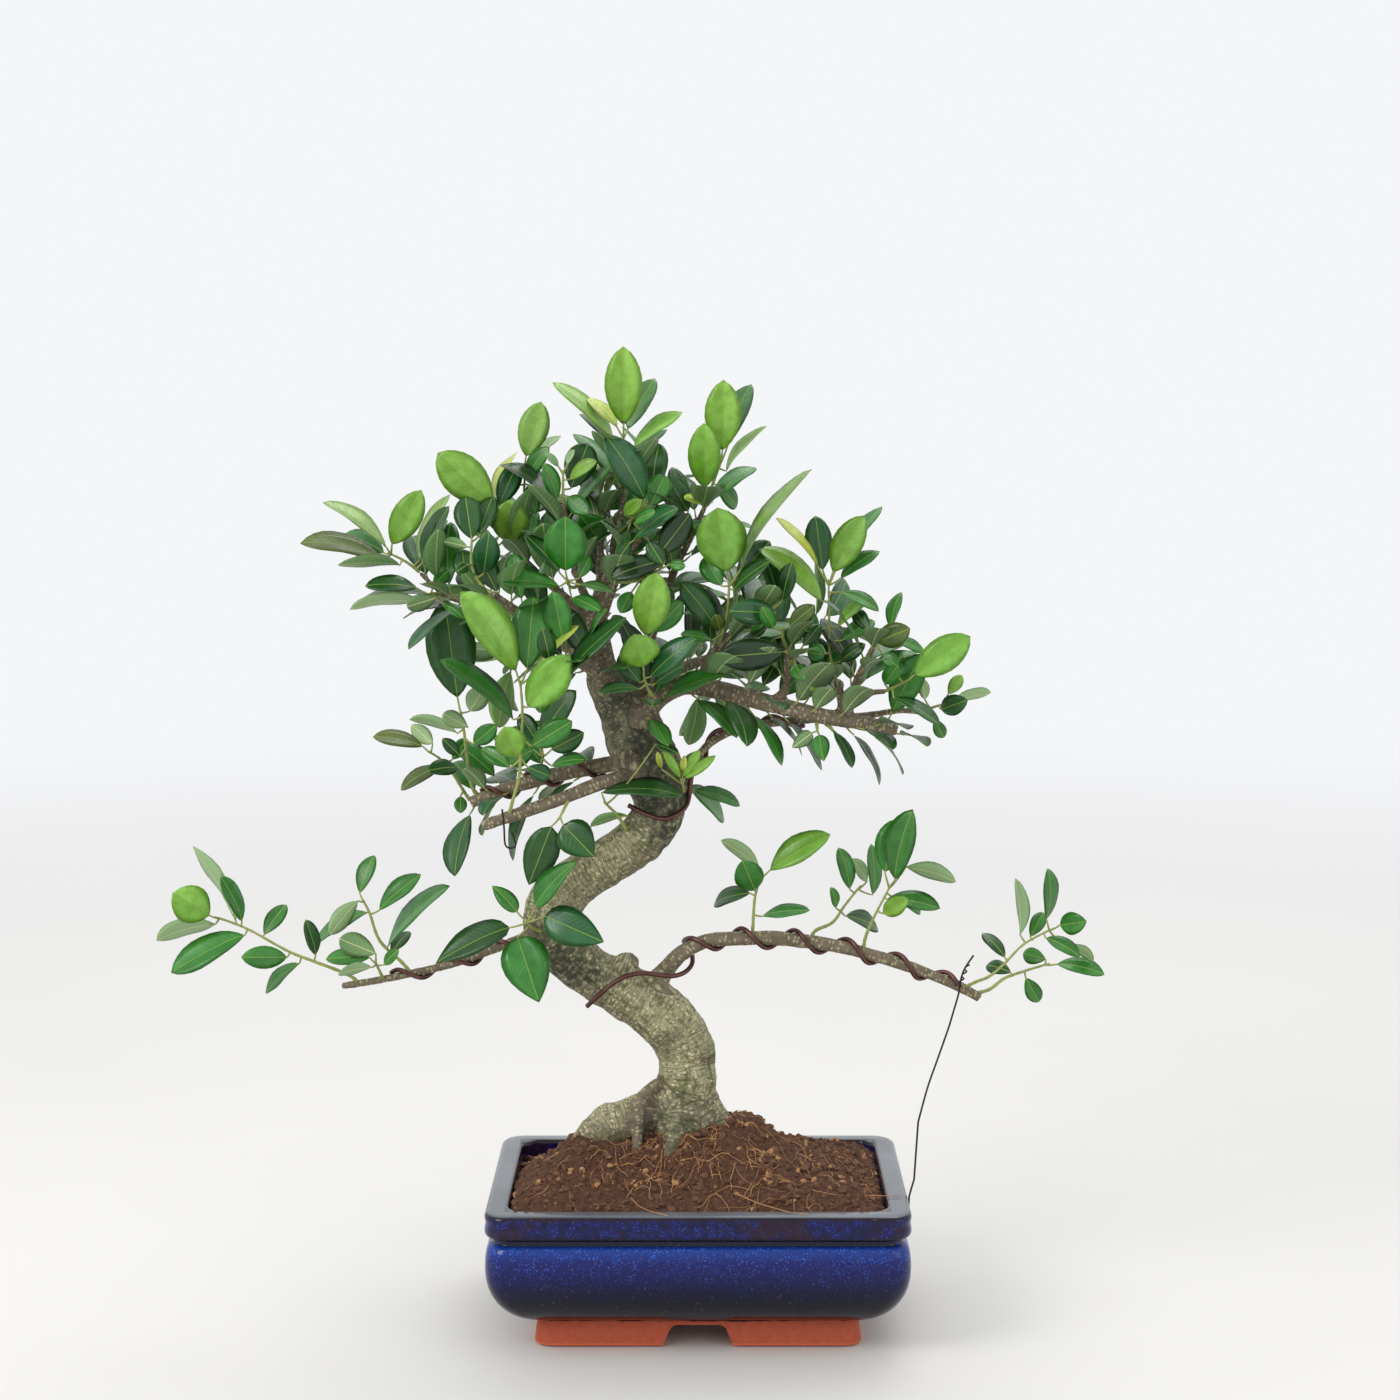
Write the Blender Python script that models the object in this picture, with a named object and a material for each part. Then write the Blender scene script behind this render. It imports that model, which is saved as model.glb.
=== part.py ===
"""A wired ficus bonsai in a glazed rectangular pot, standing on its four feet.

The pot, soil, wood, wires and leafy shoots are separate closed solids. Units are metres, +Z is up,
and the viewer stands on the -Y side. The tree is drawn in millimetres on its front elevation.
"""

import math

import bmesh
import bpy
from mathutils import Matrix, Vector
from mathutils.bvhtree import BVHTree


GAP = 0.0003  # clearance between pieces that touch

# The pot
POT_WIDTH = 0.215
POT_DEPTH = 0.158
POT_HEIGHT = 0.0743
POT_CORNER = 0.010
POT_FLOOR = 0.008
SEGMENTS_PER_CORNER = 3
RIM_BAND = 0.0120  # flat top of the rim, from its outer to its inner edge
RIM_HEIGHT = 0.0130
GROOVE_HEIGHT = 0.0032
GROOVE_DEPTH = 0.0036
UNDERCUT = 0.026  # how far the belly draws in above the foot
FOOT_WIDTH = 0.167
FOOT_DEPTH = 0.112
FOOT_HEIGHT = 0.014
FOOT_BAND = 0.012
RECESS_HEIGHT = 0.012  # from the feet up to the underside of the floor
ARCH_WIDTH = 0.040
ARCH_TOP_WIDTH = 0.027
ARCH_HEIGHT = 0.0108
DRAIN_DIAMETER = 0.014
DRAIN_SPACING = 0.076
SCREEN_SIZE = 0.024
SCREEN_THICKNESS = 0.0012
SCREEN_HOLE = 0.0052
SCREEN_BORDER = 0.003

# The soil
SOIL_BELOW_RIM = 0.004
MOUND_HEIGHT = 0.0165  # top of the mound above the soil's edge

# The tree
TREE_HEIGHT = 0.426  # from the foot of the trunk to the tip of the top leaf
FOOT_ABOVE_RIM = 0.0057
TRUNK_GIRTH = 0.030  # at the first straight stretch; every other thickness keeps to it
STEM_DIAMETER = 0.0018
STEM_SEGMENT = 0.014
PETIOLE_DIAMETER = 0.0011
LEAF_THICKNESS = 0.0008
LEAF_SLENDERNESS = 0.48  # least width of a blade for its length
LEAF_ARCH = 0.07
PETIOLE_LENGTH = 0.008
STEM_TAPER = 0.25
LEAF_SHIFTS = (0, 4, -4, 8, -8, 13, -13, 19, -19, 26, -26, 34, -34)  # steps back or forward to find room
LEAF_ROLLS = (0, 18, -18, 36, -36)  # degrees of roll about the midrib, tried in turn

# The wires
TRAINING_WIRE = 0.0025
TIE_WIRE = 0.0010
POINTS_PER_TURN = 8

# How the elevation was drawn, in millimetres: the eye, and the heights that scale the tree
EYE_DRAWN = Vector((1.0, -1477.0, 494.0))
SOIL_LINE_DRAWN = 80.0
TOP_DRAWN = 506.0
GIRTH_DRAWN = 30.0

TREE_SCALE = TREE_HEIGHT / (TOP_DRAWN - SOIL_LINE_DRAWN)
GIRTH_SCALE = TRUNK_GIRTH / GIRTH_DRAWN
TREE_FOOT = Vector((0.0, 0.0, POT_HEIGHT + FOOT_ABOVE_RIM))
EYE = (EYE_DRAWN - Vector((0.0, 0.0, SOIL_LINE_DRAWN))) * TREE_SCALE + TREE_FOOT

# Wood: each limb is a list of (x, z, depth, thickness) along its centre line
TRUNK = [
    (-8, 52, 0, 34), (-8, 75, 0, 46), (-8, 92, 0, 45), (-7.5, 103, 0, 41), (-7, 111, 0, 37),
    (-6.2, 121, 0, 33.5), (-5.4, 131, 0, 30), (-6.5, 141, 0, 30), (-10.5, 150, 0, 31),
    (-19.5, 160, 0, 31), (-32, 168.5, 1, 30.5), (-47, 177, 2, 28), (-61, 186, 3, 27),
    (-71.5, 197.5, 3, 28), (-76.5, 211, 3, 30), (-71, 223.5, 3, 28.5), (-59, 233.5, 2, 25.5),
    (-47, 241, 1, 25), (-35, 248.5, 0, 25), (-26.5, 256, -1, 26.5), (-20.5, 266, -1, 27.5),
    (-20, 276, -1, 30), (-23, 287, 0, 32.5), (-30, 299, 1, 33), (-34, 312, 2, 31),
    (-39, 322, 3, 27), (-45.5, 331, 4, 22), (-49.5, 341, 5, 17), (-51, 351, 5, 14),
    (-51.7, 361, 5, 12.5), (-53, 371, 4, 9),
]
ROOTS = {
    "left_knob": [
        (-16, 112, -3, 22), (-34, 104, -9, 23), (-49, 98, -12, 23), (-60, 85, -14, 18),
        (-66, 66, -15, 12),
    ],
    "left_rib": [
        (-20, 124, -9, 6), (-30, 114, -16, 7), (-31, 100, -21, 6), (-33, 84, -25, 6),
        (-35, 70, -27, 5),
    ],
    "right": [(2, 112, -4, 18), (12, 100, -9, 15), (22, 87, -13, 11), (31, 72, -16, 7)],
    "back": [(-8, 106, 8, 20), (-12, 92, 24, 15), (-18, 78, 36, 10), (-22, 68, 42, 6)],
    "front": [(-10, 104, -12, 16), (-13, 90, -24, 11), (-18, 78, -33, 7), (-21, 68, -38, 5)],
}
LIMBS = {
    "low_right": [
        (-25, 174, 0, 13), (-16, 184, -2, 10), (-9, 192, -4, 8.4), (4, 198.6, -5, 8), (20, 200, -6, 8),
        (40, 200, -8, 7.8), (60, 198, -10, 7.6), (79, 194.4, -11, 7), (98, 189, -11, 6.6),
        (117, 182.5, -10, 6), (136.5, 174.4, -9, 5.8), (147, 168.5, -8, 5.6),
    ],
    "mid_right": [
        (-34, 314, 2, 18), (-22, 326, 0, 13), (-12, 331.5, -3, 11), (0, 332.6, -6, 10.8),
        (20, 327.5, -9, 10),
        (44, 321.5, -12, 9), (62, 317, -14, 8.4), (82, 313.4, -15, 8), (103, 309.6, -16, 7),
    ],
    "thin_right": [
        (-12, 278, 0, 7), (-4, 288, 0, 5), (3, 299.5, 3, 4.6), (12, 306.2, 7, 4.6), (24, 310.8, 9, 4.6),
        (45, 313.8, 10, 4.6), (66, 315.5, 10, 4.4), (88, 317, 7, 4), (104, 319.5, 4, 3.6),
        (118, 318, 2, 3),
    ],
    "left_front": [
        (-26, 288, -5, 12), (-40, 284.5, -13, 8.4), (-52, 281, -17, 7.6), (-66, 275.5, -20, 7.2),
        (-82, 269.5, -22, 7), (-98, 264, -23, 6.6), (-112, 259.2, -24, 6),
    ],
    "left_back": [
        (-30, 294, 5, 13), (-42, 292, 12, 9), (-60, 289, 17, 8.6), (-78, 285, 20, 8.2),
        (-98, 279, 21, 7.4),
        (-118, 271.5, 20, 6.4),
    ],
    "low_left": [
        (-70, 205, 3, 14), (-86, 201.6, 1, 7), (-97, 198, -2, 5.2), (-113, 191.8, -5, 4.8),
        (-131, 185.8, -8, 4.6),
        (-149.7, 181.5, -9, 4.4), (-168, 177.6, -9, 4.2), (-186, 174.8, -9, 4),
    ],
    "crown_left": [
        (-50, 345, 4, 9), (-64, 356, -4, 6.2), (-80, 365, -14, 5), (-93, 371.5, -22, 4.2),
        (-106, 380.5, -26, 3.6),
    ],
    "crown_far_left": [
        (-80, 365, -14, 4.4), (-97, 371.5, -10, 3.8), (-117, 374.5, -8, 3.4), (-131, 380, -7, 3),
        (-143, 391, -6, 2.6),
    ],
    "crown_rear_left": [
        (-52, 362, 5, 8), (-66, 376, 8, 5), (-80, 388, 10, 4.4), (-89, 397, 10, 3.8),
        (-96.5, 404.5, 8, 3.2),
    ],
    "crown_inner_left": [
        (-53, 368, 4, 7), (-61, 386, -2, 4.4), (-67, 408, -6, 3.6), (-68.5, 426, -7, 3),
    ],
    "crown_centre": [
        (-53, 368, 4, 8), (-50.5, 388, 10, 4.4), (-50, 405, 13, 3.8), (-50.5, 420, 13, 3.2),
    ],
    "crown_top": [
        (-53, 368, 4, 8), (-47, 388, 3, 5), (-41.5, 408, 4, 4.2), (-38.5, 430, 5, 3.6),
        (-38, 451, 5, 3),
    ],
    "crown_right": [(-52, 362, 5, 8), (-45, 380, -4, 5), (-38, 396, -10, 4.4), (-29, 408.5, -14, 3.4)],
    "crown_far_right": [
        (-36, 318, 3, 12), (-27, 348, 12, 6), (-19, 372, 15, 5), (-11, 394, 14, 4.2),
        (-3, 410, 11, 3.6),
        (4, 426, 8, 3),
    ],
    "right_rise_1": [
        (1, 331, -6, 8), (5, 343, -8, 6.4), (9.5, 351, -9, 5.4), (19, 360.5, -10, 4.6),
        (32, 368.5, -10, 3.6),
    ],
    "right_rise_2": [
        (38, 323, -11, 6.6), (45, 331, -12, 4.6), (46, 344, -13, 4), (45.5, 353, -14, 3.6),
    ],
    "right_rise_3": [
        (75, 315, -14, 7.6), (74.4, 324, -13, 5.6), (71, 336, -12, 4.4),
    ],
    "right_rise_4": [
        (76.5, 315, -14, 7), (79.5, 328, -17, 4.6), (84, 340, -19, 4), (90.5, 353, -20, 3),
    ],
    "right_rise_5": [(79, 324, -16, 4.6), (88, 328.2, -19, 3.6), (97, 329.6, -21, 3)],
    "rear_left": [(-49, 338, 5, 11), (-60, 348, 26, 6.4), (-76, 356, 46, 5), (-92, 364, 62, 4)],
    "rear_right": [
        (-37, 318, 4, 14), (-22, 334, 26, 7.6), (-2, 344, 46, 6), (22, 350, 60, 5), (44, 353, 70, 4),
    ],
    "rear_top": [(-51, 355, 6, 9), (-48, 376, 26, 5.4), (-40, 396, 42, 4.6), (-30, 414, 52, 3.6)],
    "front_left": [(-45, 331, 2, 12), (-52, 338, -18, 6), (-62, 344, -34, 4.6), (-70, 347, -44, 3.6)],
    "front_centre": [(-34, 316, 0, 11), (-25, 322, -18, 5.6), (-22.5, 327, -27, 4)],
}

# Leafy shoots. A stem is a list of (x, z, depth). A leaf is (blade's foot x, z, tip x, z, width seen,
# how far its tip leans back or, below zero, forward, and 1 or -1 where the upper or lower face shows)
SHOOTS = {
    "bend": (
        [(-80, 203, -6), (-87, 206, -22), (-89, 209, -27)],
        [
            (-80, 212, -49, 198, 20, -12, 1), (-94, 201, -83, 166, 25, -16, 1),
            (-98, 206, -137, 187, 15, -5, 1),
            (-85, 217, -63, 241, 12, -10, 1), (-94, 214, -107, 228, 9, 10, 1),
        ],
    ),
    "left_front_hanging": (
        [(-66, 275, -20), (-70, 267, -27), (-71.5, 264, -28)],
        [(-70, 260, -54, 243, 19, -8, 1), (-76, 259, -88, 228, 18, 6, 1)],
    ),
    "under_bend_right": (
        [(-37, 257, -11), (-42, 265, -19), (-48, 271, -22)],
        [
            (-50, 277, -8, 275, 10, -9, 1), (-36, 265, -56, 259, 5, 6, -1),
            (-22, 302, -10, 297, 5, -10, 1),
        ],
    ),
    "behind_upper_bend": (
        [(-12, 272, 6), (-4, 276, 18)],
        [(-2, 278, 22, 270, 8, 6, 1), (-5, 280, 14, 262, 9, 26, 1), (-8, 284, 1, 299, 7, 14, 1)],
    ),
    "low_right_1": (
        [(28, 199, -6), (28.5, 206, -7), (29.6, 222, -9), (33, 233, -9)],
        [
            (29.6, 225, 23, 241, 15.5, -17, 1), (32, 237, 12, 252, 8, 8, -1),
            (37, 236, 68.5, 255, 14, -6, 1),
            (33, 212, 58, 215, 7, -12, 1), (27, 224, 8, 218, 9, 22, 1),
        ],
    ),
    "low_right_2": (
        [(58, 198, -10), (61, 204, -5), (70, 208.5, 0), (76, 217, 2), (83.7, 227, 3)],
        [
            (79, 226, 73, 248, 9, 4, 1), (88, 230, 80, 242, 7, 16, -1), (72, 216, 69, 227, 5, -6, 1),
            (91, 223, 90, 250, 8, 8, 1), (77, 212, 94, 205, 9, 22, 1),
        ],
    ),
    "low_right_3": (
        [(86, 193, -11), (87, 200, -15), (89.5, 206.8, -18), (92.5, 213.3, -20), (100, 228, -22)],
        [
            (97, 235, 103, 263, 17, 4, 1), (102, 231, 111, 268, 16, -12, 1),
            (108, 238, 134, 230, 9, -4, -1),
            (98, 221, 126, 216, 10, -10, 1), (96, 213, 109, 221, 10, -18, 1),
            (106, 220, 116, 213, 5, 6, 1),
        ],
    ),
    "low_right_tip": (
        [
            (138, 173.6, -9), (145, 177, -12), (152, 180, -12), (160, 187, -12), (169.7, 197, -11),
            (184, 205, -9),
        ],
        [
            (168, 202, 165, 232, 7, 4, -1), (181.6, 210, 181.6, 237, 8, -6, 1),
            (173, 201, 179.7, 214, 8, 12, 1),
            (188, 207, 202, 209, 12, -16, 1), (181, 200.5, 199, 190.5, 8, -8, 1),
            (190, 197, 206, 188, 6, 10, -1),
            (160, 190, 148, 203, 7, 14, 1),
        ],
    ),
    "low_right_tip_side": (
        [(143, 170.6, -8), (152, 173, -2), (160, 179, 2), (171, 183, 4), (182, 186.4, 4)],
        [
            (181, 189, 169, 192, 9, 12, 1), (187, 186.6, 212, 181, 9, -4, 1),
            (171, 179, 178, 166, 9, 8, 1),
            (163, 182, 150, 186, 8, 18, 1),
        ],
    ),
    "low_left_tip": (
        [
            (-177, 176.5, -9), (-183, 181, -12), (-200.6, 188, -14), (-214, 193.5, -15),
            (-234.5, 205, -16),
            (-250, 211, -16),
        ],
        [
            (-254, 212, -273, 224, 20, -12, 1), (-240, 209, -262, 249, 7, 6, -1),
            (-237, 209, -248, 233, 9, -8, 1),
            (-251, 208, -282, 199, 10, 10, -1), (-236, 202, -275, 182, 15, -6, 1),
            (-214, 190, -238, 190, 12, -14, 1),
            (-208, 187, -226, 171, 7, 6, 1), (-199, 191, -204, 210, 8, -4, 1),
            (-226, 202, -214, 218, 9, 14, 1),
        ],
    ),
    "low_left_upper": (
        [(-149.6, 181.5, -9), (-154, 187, -5), (-165.7, 198.7, -2), (-170.7, 213, -1), (-174, 220, -1)],
        [
            (-177, 220, -192, 202, 10, -10, -1), (-172, 214, -200, 197, 8, 8, 1),
            (-166, 215, -144, 234, 10, 4, 1),
            (-162, 196, -129, 228, 9, -8, 1), (-176, 224, -168, 244, 9, 10, 1),
            (-160, 192, -150, 204, 7, 16, 1),
        ],
    ),
    "low_left_lower": (
        [(-164, 178, -9), (-166, 182.6, -14), (-168, 187, -18)],
        [
            (-171, 190, -194, 189, 9, -6, 1), (-170, 185, -188, 181, 6, -12, -1),
            (-168, 192, -187, 200, 13, -10, -1),
            (-164, 186, -156, 194, 6, -8, 1),
        ],
    ),
    "mid_right_hanging": (
        [(61, 315, -13), (61.4, 311, -20), (61.6, 309, -22)],
        [(59, 308, 48.5, 300, 8, 4, -1), (62.5, 307, 65, 293, 9, -3, 1)],
    ),
    "far_left": (
        [(-143, 391, -6), (-147, 394.4, -7), (-152, 397.6, -8), (-158, 400.5, -9)],
        [
            (-159.5, 404, -192, 427, 8, -4, 1), (-157, 405, -141.5, 433, 16, -10, 1),
            (-161, 401, -181, 411, 11, 14, 1),
            (-162, 398, -204, 406, 11, -10, 1), (-153, 395, -185, 395, 7, -20, -1),
            (-143.4, 397, -127, 431, 7, 12, 1),
            (-141.5, 396, -127.5, 425, 9, -4, 1),
        ],
    ),
    "far_left_low": (
        [(-131, 379, -7), (-135, 380, -15), (-139, 379.6, -19)],
        [
            (-144, 383, -171, 384, 9, -5, 1), (-134, 378, -150, 373, 9, -14, -1),
            (-140, 376, -179, 372, 7, 4, -1),
            (-136, 384, -128, 392, 8, 14, 1), (-131, 375, -120, 367, 6, -10, 1),
        ],
    ),
    "left_crown": (
        [(-104, 379, -25), (-111, 384, -24), (-116, 394, -22), (-116, 408, -20)],
        [
            (-116, 408, -119, 430, 15, 12, 1), (-112, 410, -105, 430, 11, 18, 1),
            (-118, 404, -131, 407, 6, 4, -1),
            (-110, 390, -107, 411, 14, -12, 1), (-119, 387, -121, 403, 13, 12, 1),
            (-118, 395, -124, 391, 6, -12, 1),
            (-113, 381, -120, 372, 8, -12, 1),
        ],
    ),
    "left_crown_bright": (
        [(-95, 403, 8), (-98, 408.6, 5), (-101.6, 415, 2), (-104, 422, 0)],
        [
            (-105, 426, -133, 452, 22, -9, 1), (-95.5, 406, -97, 428, 19, -18, 1),
            (-102, 425, -92, 447, 12, 9, 1),
            (-105, 428, -92, 453, 5, 18, 1), (-103, 404, -124, 419, 7, -12, 1),
        ],
    ),
    "left_crown_top": (
        [(-87, 395, 10), (-90, 401, 15), (-90.5, 416, 17), (-89, 432, 16), (-88.5, 446, 15)],
        [
            (-88, 450, -80, 478, 16, -5, 1), (-88, 439, -76, 455, 9, -10, 1),
            (-84, 448, -70, 461, 5, 10, 1),
            (-87, 436, -83, 421, 8, -3, 1), (-93, 436, -99, 447, 8, 12, 1),
            (-92, 420, -104, 430, 9, 22, 1),
            (-86, 421, -74, 430, 9, 20, 1),
        ],
    ),
    "inner_left_top": (
        [(-68.3, 424, -7), (-69, 430, -8), (-69, 442, -9)],
        [
            (-71, 445, -78, 452, 4, -4, 1), (-65, 434, -56, 457, 17, 13, 1),
            (-72, 428, -78.5, 447, 9, -4, 1),
            (-66, 438.5, -51.5, 448, 7, -10, 1), (-67, 429.5, -56, 421, 10, -12, 1),
            (-67, 446, -63.5, 454, 4, 6, 1),
        ],
    ),
    "inner_left_round": (
        [(-60.6, 385, -2), (-64, 383, -12), (-66.6, 384.6, -22), (-67, 387, -26)],
        [
            (-68, 391.5, -68, 419.5, 22, -12, 1), (-71, 384, -101, 386.6, 9, -12, 1),
            (-61, 388, -55.5, 399, 7, 8, 1),
            (-61, 385, -44, 381, 5, -8, 1), (-65, 378, -50, 371, 8, -16, 1),
            (-71, 391, -88, 410, 10, 8, 1),
        ],
    ),
    "centre_top": (
        [(-50.5, 418, 13), (-51, 424, 11), (-50, 435, 9)],
        [
            (-51, 438, -61, 450, 5, -4, 1), (-48, 439, -41.5, 441.6, 4, -12, 1),
            (-48.4, 429, -42, 440, 4, -16, 1),
            (-55, 430, -51, 446, 7, 8, 1), (-50, 407, -60.5, 420, 17, -24, 1),
            (-46, 423, -34, 430, 8, 14, 1),
        ],
    ),
    "crown_tip": (
        [(-38, 449, 5), (-38.2, 455, 5), (-38, 460, 4.5)],
        [
            (-38, 466, -38, 506, 19.5, -8, 1), (-36, 464, -22, 490, 12, 12, 1),
            (-41, 465, -56.5, 480, 7, 7, 1),
            (-43, 459, -74, 488, 9, -5, 1), (-33, 455, -8, 473, 8, 3, 1),
        ],
    ),
    "crown_tip_low": (
        [(-41, 411, 4), (-36, 416, -4), (-31, 420.6, -9), (-29, 423, -10)],
        [
            (-27, 428, -47.5, 461, 17, -10, 1), (-24, 425, -17, 441, 13, 6, 1),
            (-38, 420, -29, 428, 8, -12, 1),
            (-24, 430, -20, 457, 14, 18, 1), (-36, 412, -40, 400, 8, -12, 1),
        ],
    ),
    "right_crown_inner": (
        [(-31, 406, -13.4), (-30, 411, -20), (-29, 413, -22)],
        [
            (-33, 408, -10, 424, 9, -8, 1), (-26, 408, -18, 395, 9, -6, 1),
            (-33, 416, -22, 422, 6, -14, 1),
            (-35, 406, -42, 396, 8, -12, 1),
        ],
    ),
    "right_crown_low": (
        [(-42, 386, -7), (-34, 386, -15), (-25, 389, -21), (-19, 393, -24)],
        [
            (-17, 397, -45, 388, 12, -10, 1), (-15, 395, -6.5, 394, 6, -6, 1),
            (-20, 400, -4, 421, 15, -3, 1),
            (-24, 384, -12, 376, 9, 4, 1), (-34, 381, -40, 370, 9, -8, 1),
            (-30, 393, -34, 399, 6, 14, 1),
        ],
    ),
    "right_crown_mid": (
        [(-5, 406, 12), (-8, 412, 6), (-6, 418, 2)],
        [(-5, 422, -16, 440, 14, -4, 1), (-8, 424, -13, 445, 10, 14, 1), (-2, 414, 9, 404, 9, 14, 1)],
    ),
    "right_crown_top": (
        [(3.6, 425, 8), (5.6, 431, 8), (9, 440, 7), (12, 448, 6)],
        [
            (12.4, 453, 13, 489, 19, -8, 1), (15, 456, 27, 487, 13, 12, 1),
            (3.4, 434, 3, 467, 17, -16, 1),
            (14, 443, 35, 466, 5, 6, 1), (3, 427, -7, 429, 5, -12, 1), (9, 436, 20, 424, 9, 18, 1),
        ],
    ),
    "centre_big": (
        [(9.5, 350, -9), (12.6, 359, -13), (15, 369, -16.5), (15.8, 381, -21), (16, 385, -23)],
        [
            (14.5, 391, 10, 424, 26, -9, 1), (21, 392, 58, 444, 6, -5, 1),
            (20, 388, 37, 407, 14, 14, 1),
            (18, 382, 37, 397, 8, -12, 1), (12, 384, 3, 399, 12, 12, 1), (11.4, 361, 9, 369, 8, -8, 1),
            (10, 362, -9, 386, 14, 4, 1), (7, 356, -9, 359, 6, -8, 1),
        ],
    ),
    "centre_low": (
        [(28, 366, -10), (34, 370, -17), (38, 372, -20)],
        [
            (40, 370, 16, 371, 14, -14, 1), (41, 376, 35, 397, 9, 4, 1), (43, 376, 48, 396, 10, -8, 1),
            (36, 366, 27, 358, 7, 8, 1),
        ],
    ),
    "front_bright": (
        [(-23.6, 346, 9), (-26, 350, -6), (-28, 352, -20), (-28, 354, -26)],
        [
            (-27, 358, -21, 391, 19, -8, 1), (-23, 360, -8, 376, 12, 6, 1),
            (-34, 356, -44, 369, 8, 10, 1),
        ],
    ),
    "front_heart": (
        [(-22.8, 326, -25), (-26, 331, -32), (-28, 337, -36)],
        [
            (-28, 342, -33, 359, 21, -14, 1), (-30, 334, -41, 348, 10, 3, 1),
            (-25, 337, -1, 357, 13, -6, 1),
            (-23, 333, -7, 343, 8, 8, 1), (-30, 331, -51, 329, 6, -10, 1),
        ],
    ),
    "left_bright": (
        [
            (-98, 264, -23), (-96.4, 271, -28), (-92.6, 285, -33), (-91.6, 300, -38), (-90.6, 318, -43),
            (-91.6, 334, -47),
        ],
        [
            (-93.5, 340, -122, 381, 20, -8, 1), (-88, 341, -84.5, 379, 20, 9, 1),
            (-88, 321, -66, 348, 20, -14, 1),
            (-95, 315, -133, 346, 11, -6, 1), (-84, 340, -61, 364, 6, 4, 1),
            (-94, 295, -100, 311, 16, -14, 1),
            (-86, 301, -65, 314, 13, -7, 1), (-88, 290, -76, 285, 9, 8, 1),
            (-97, 290, -112, 300, 9, 10, 1),
        ],
    ),
    "left_dark": (
        [(-113, 273.4, 20), (-117, 280, 16), (-119.6, 296, 8), (-121, 310, 2), (-122.6, 319, -2)],
        [
            (-124, 326, -130, 377, 26, 2, 1), (-118, 319, -110, 332, 12, 10, -1),
            (-119, 311, -132, 318, 9, -12, -1),
            (-124, 308, -149, 315, 6, 8, -1), (-116, 302, -104, 312, 10, -8, 1),
            (-123, 296, -132, 305, 7, -6, 1),
        ],
    ),
    "left_mid_tip": (
        [(-117.4, 271.6, 20), (-121, 277, 24), (-127, 287, 22), (-133, 294, 18), (-139, 298, 14)],
        [
            (-142, 301, -168, 306, 9, -6, 1), (-137, 302, -148, 312, 9, 8, -1),
            (-132, 291, -154, 278, 8, -8, 1),
            (-124, 290, -140, 288, 9, -20, 1), (-123, 275, -123, 266, 7, -6, 1),
            (-127, 294, -119, 305, 8, 14, 1),
        ],
    ),
    "left_inner": (
        [(-79, 284.6, 20), (-81, 290, 14), (-80, 296, 6)],
        [
            (-81, 304, -63, 330, 14, -14, 1), (-76, 299, -59, 308, 12, -10, 1),
            (-76, 291, -58, 294, 7, -12, 1),
            (-85, 299, -98, 292, 10, 6, 1), (-83, 303, -92, 318, 10, 8, 1),
        ],
    ),
    "front_left_long": (
        [(-68.5, 346.6, -43), (-73, 344, -47), (-74.5, 339, -49)],
        [
            (-70.5, 334, -37, 368, 10, -12, 1), (-77, 334, -82, 318, 9, 10, 1),
            (-76, 345, -80, 362, 10, -12, 1),
        ],
    ),
    "right_dark": (
        [(45.5, 352, -14), (43.6, 357, -20), (44, 362, -23)],
        [(47, 363, 60, 374, 10, -4, 1), (40, 357, 30, 350, 10, 8, 1), (39, 362, 33, 373, 8, -12, 1)],
    ),
    "right_horizontal": (
        [(46, 343, -13), (49.6, 346, -18), (51, 349, -22)],
        [
            (45, 350, 10, 347, 17, -8, 1), (54, 353, 63, 364, 8, 8, 1), (50, 343, 55, 336, 9, -12, 1),
            (56, 350, 65, 348, 10, -4, 1),
        ],
    ),
    "right_tall": (
        [(71.4, 334.6, -12), (69.5, 341, -12), (67.6, 352, -12), (67.4, 368, -12), (67, 386, -12)],
        [
            (69, 391, 85, 420, 16, -10, 1), (64, 392, 60, 420, 14, 8, 1), (62, 394, 40, 419, 5, -4, 1),
            (64, 376, 31, 403, 12, -9, 1), (71, 394, 94, 425, 8, 18, 1), (73, 388, 93, 402, 8, 8, 1),
            (73, 381, 93, 371, 7, -6, 1), (71.6, 363, 89, 379, 7, -7, 1), (74, 356, 91, 366, 9, 10, 1),
            (62, 362, 53, 370, 9, 8, 1), (73, 345, 86, 354, 8, -9, 1), (66, 349, 60, 352, 6, -16, -1),
            (63, 343, 61, 358, 10, 10, 1), (61, 336, 51, 325, 9, 4, -1), (66, 337, 58, 330, 7, -14, 1),
        ],
    ),
    "right_round": (
        [(90.3, 352.6, -20), (92, 356, -22), (93, 358, -23)],
        [
            (92, 355, 109, 362, 13, -12, 1), (99, 362, 104, 381, 7, 12, 1),
            (99, 357, 117, 350, 6, 6, 1),
            (95, 349, 103, 342, 8, -6, 1), (88, 361, 80, 372, 8, 10, 1),
        ],
    ),
    "right_far": (
        [(96.4, 329.6, -21), (101, 331.6, -24), (107, 334.6, -26)],
        [
            (111, 337.6, 140, 358, 18, -6, 1), (96, 333, 103, 343, 9, -12, 1),
            (101, 326.6, 125, 312, 7, -10, 1),
            (103, 338, 111, 348, 8, 12, 1),
        ],
    ),
    "thin_right_tip": (
        [(116, 318.2, 2), (121, 321, 0), (126, 322.6, -2)],
        [
            (125, 320, 139, 325, 11, -16, 1), (129, 328, 136, 338, 7, 6, 1),
            (131, 324, 151, 329, 6, 12, -1),
            (117, 325, 116, 336, 6, 8, -1), (122, 315, 127, 305, 7, 10, 1),
        ],
    ),
}

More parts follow.
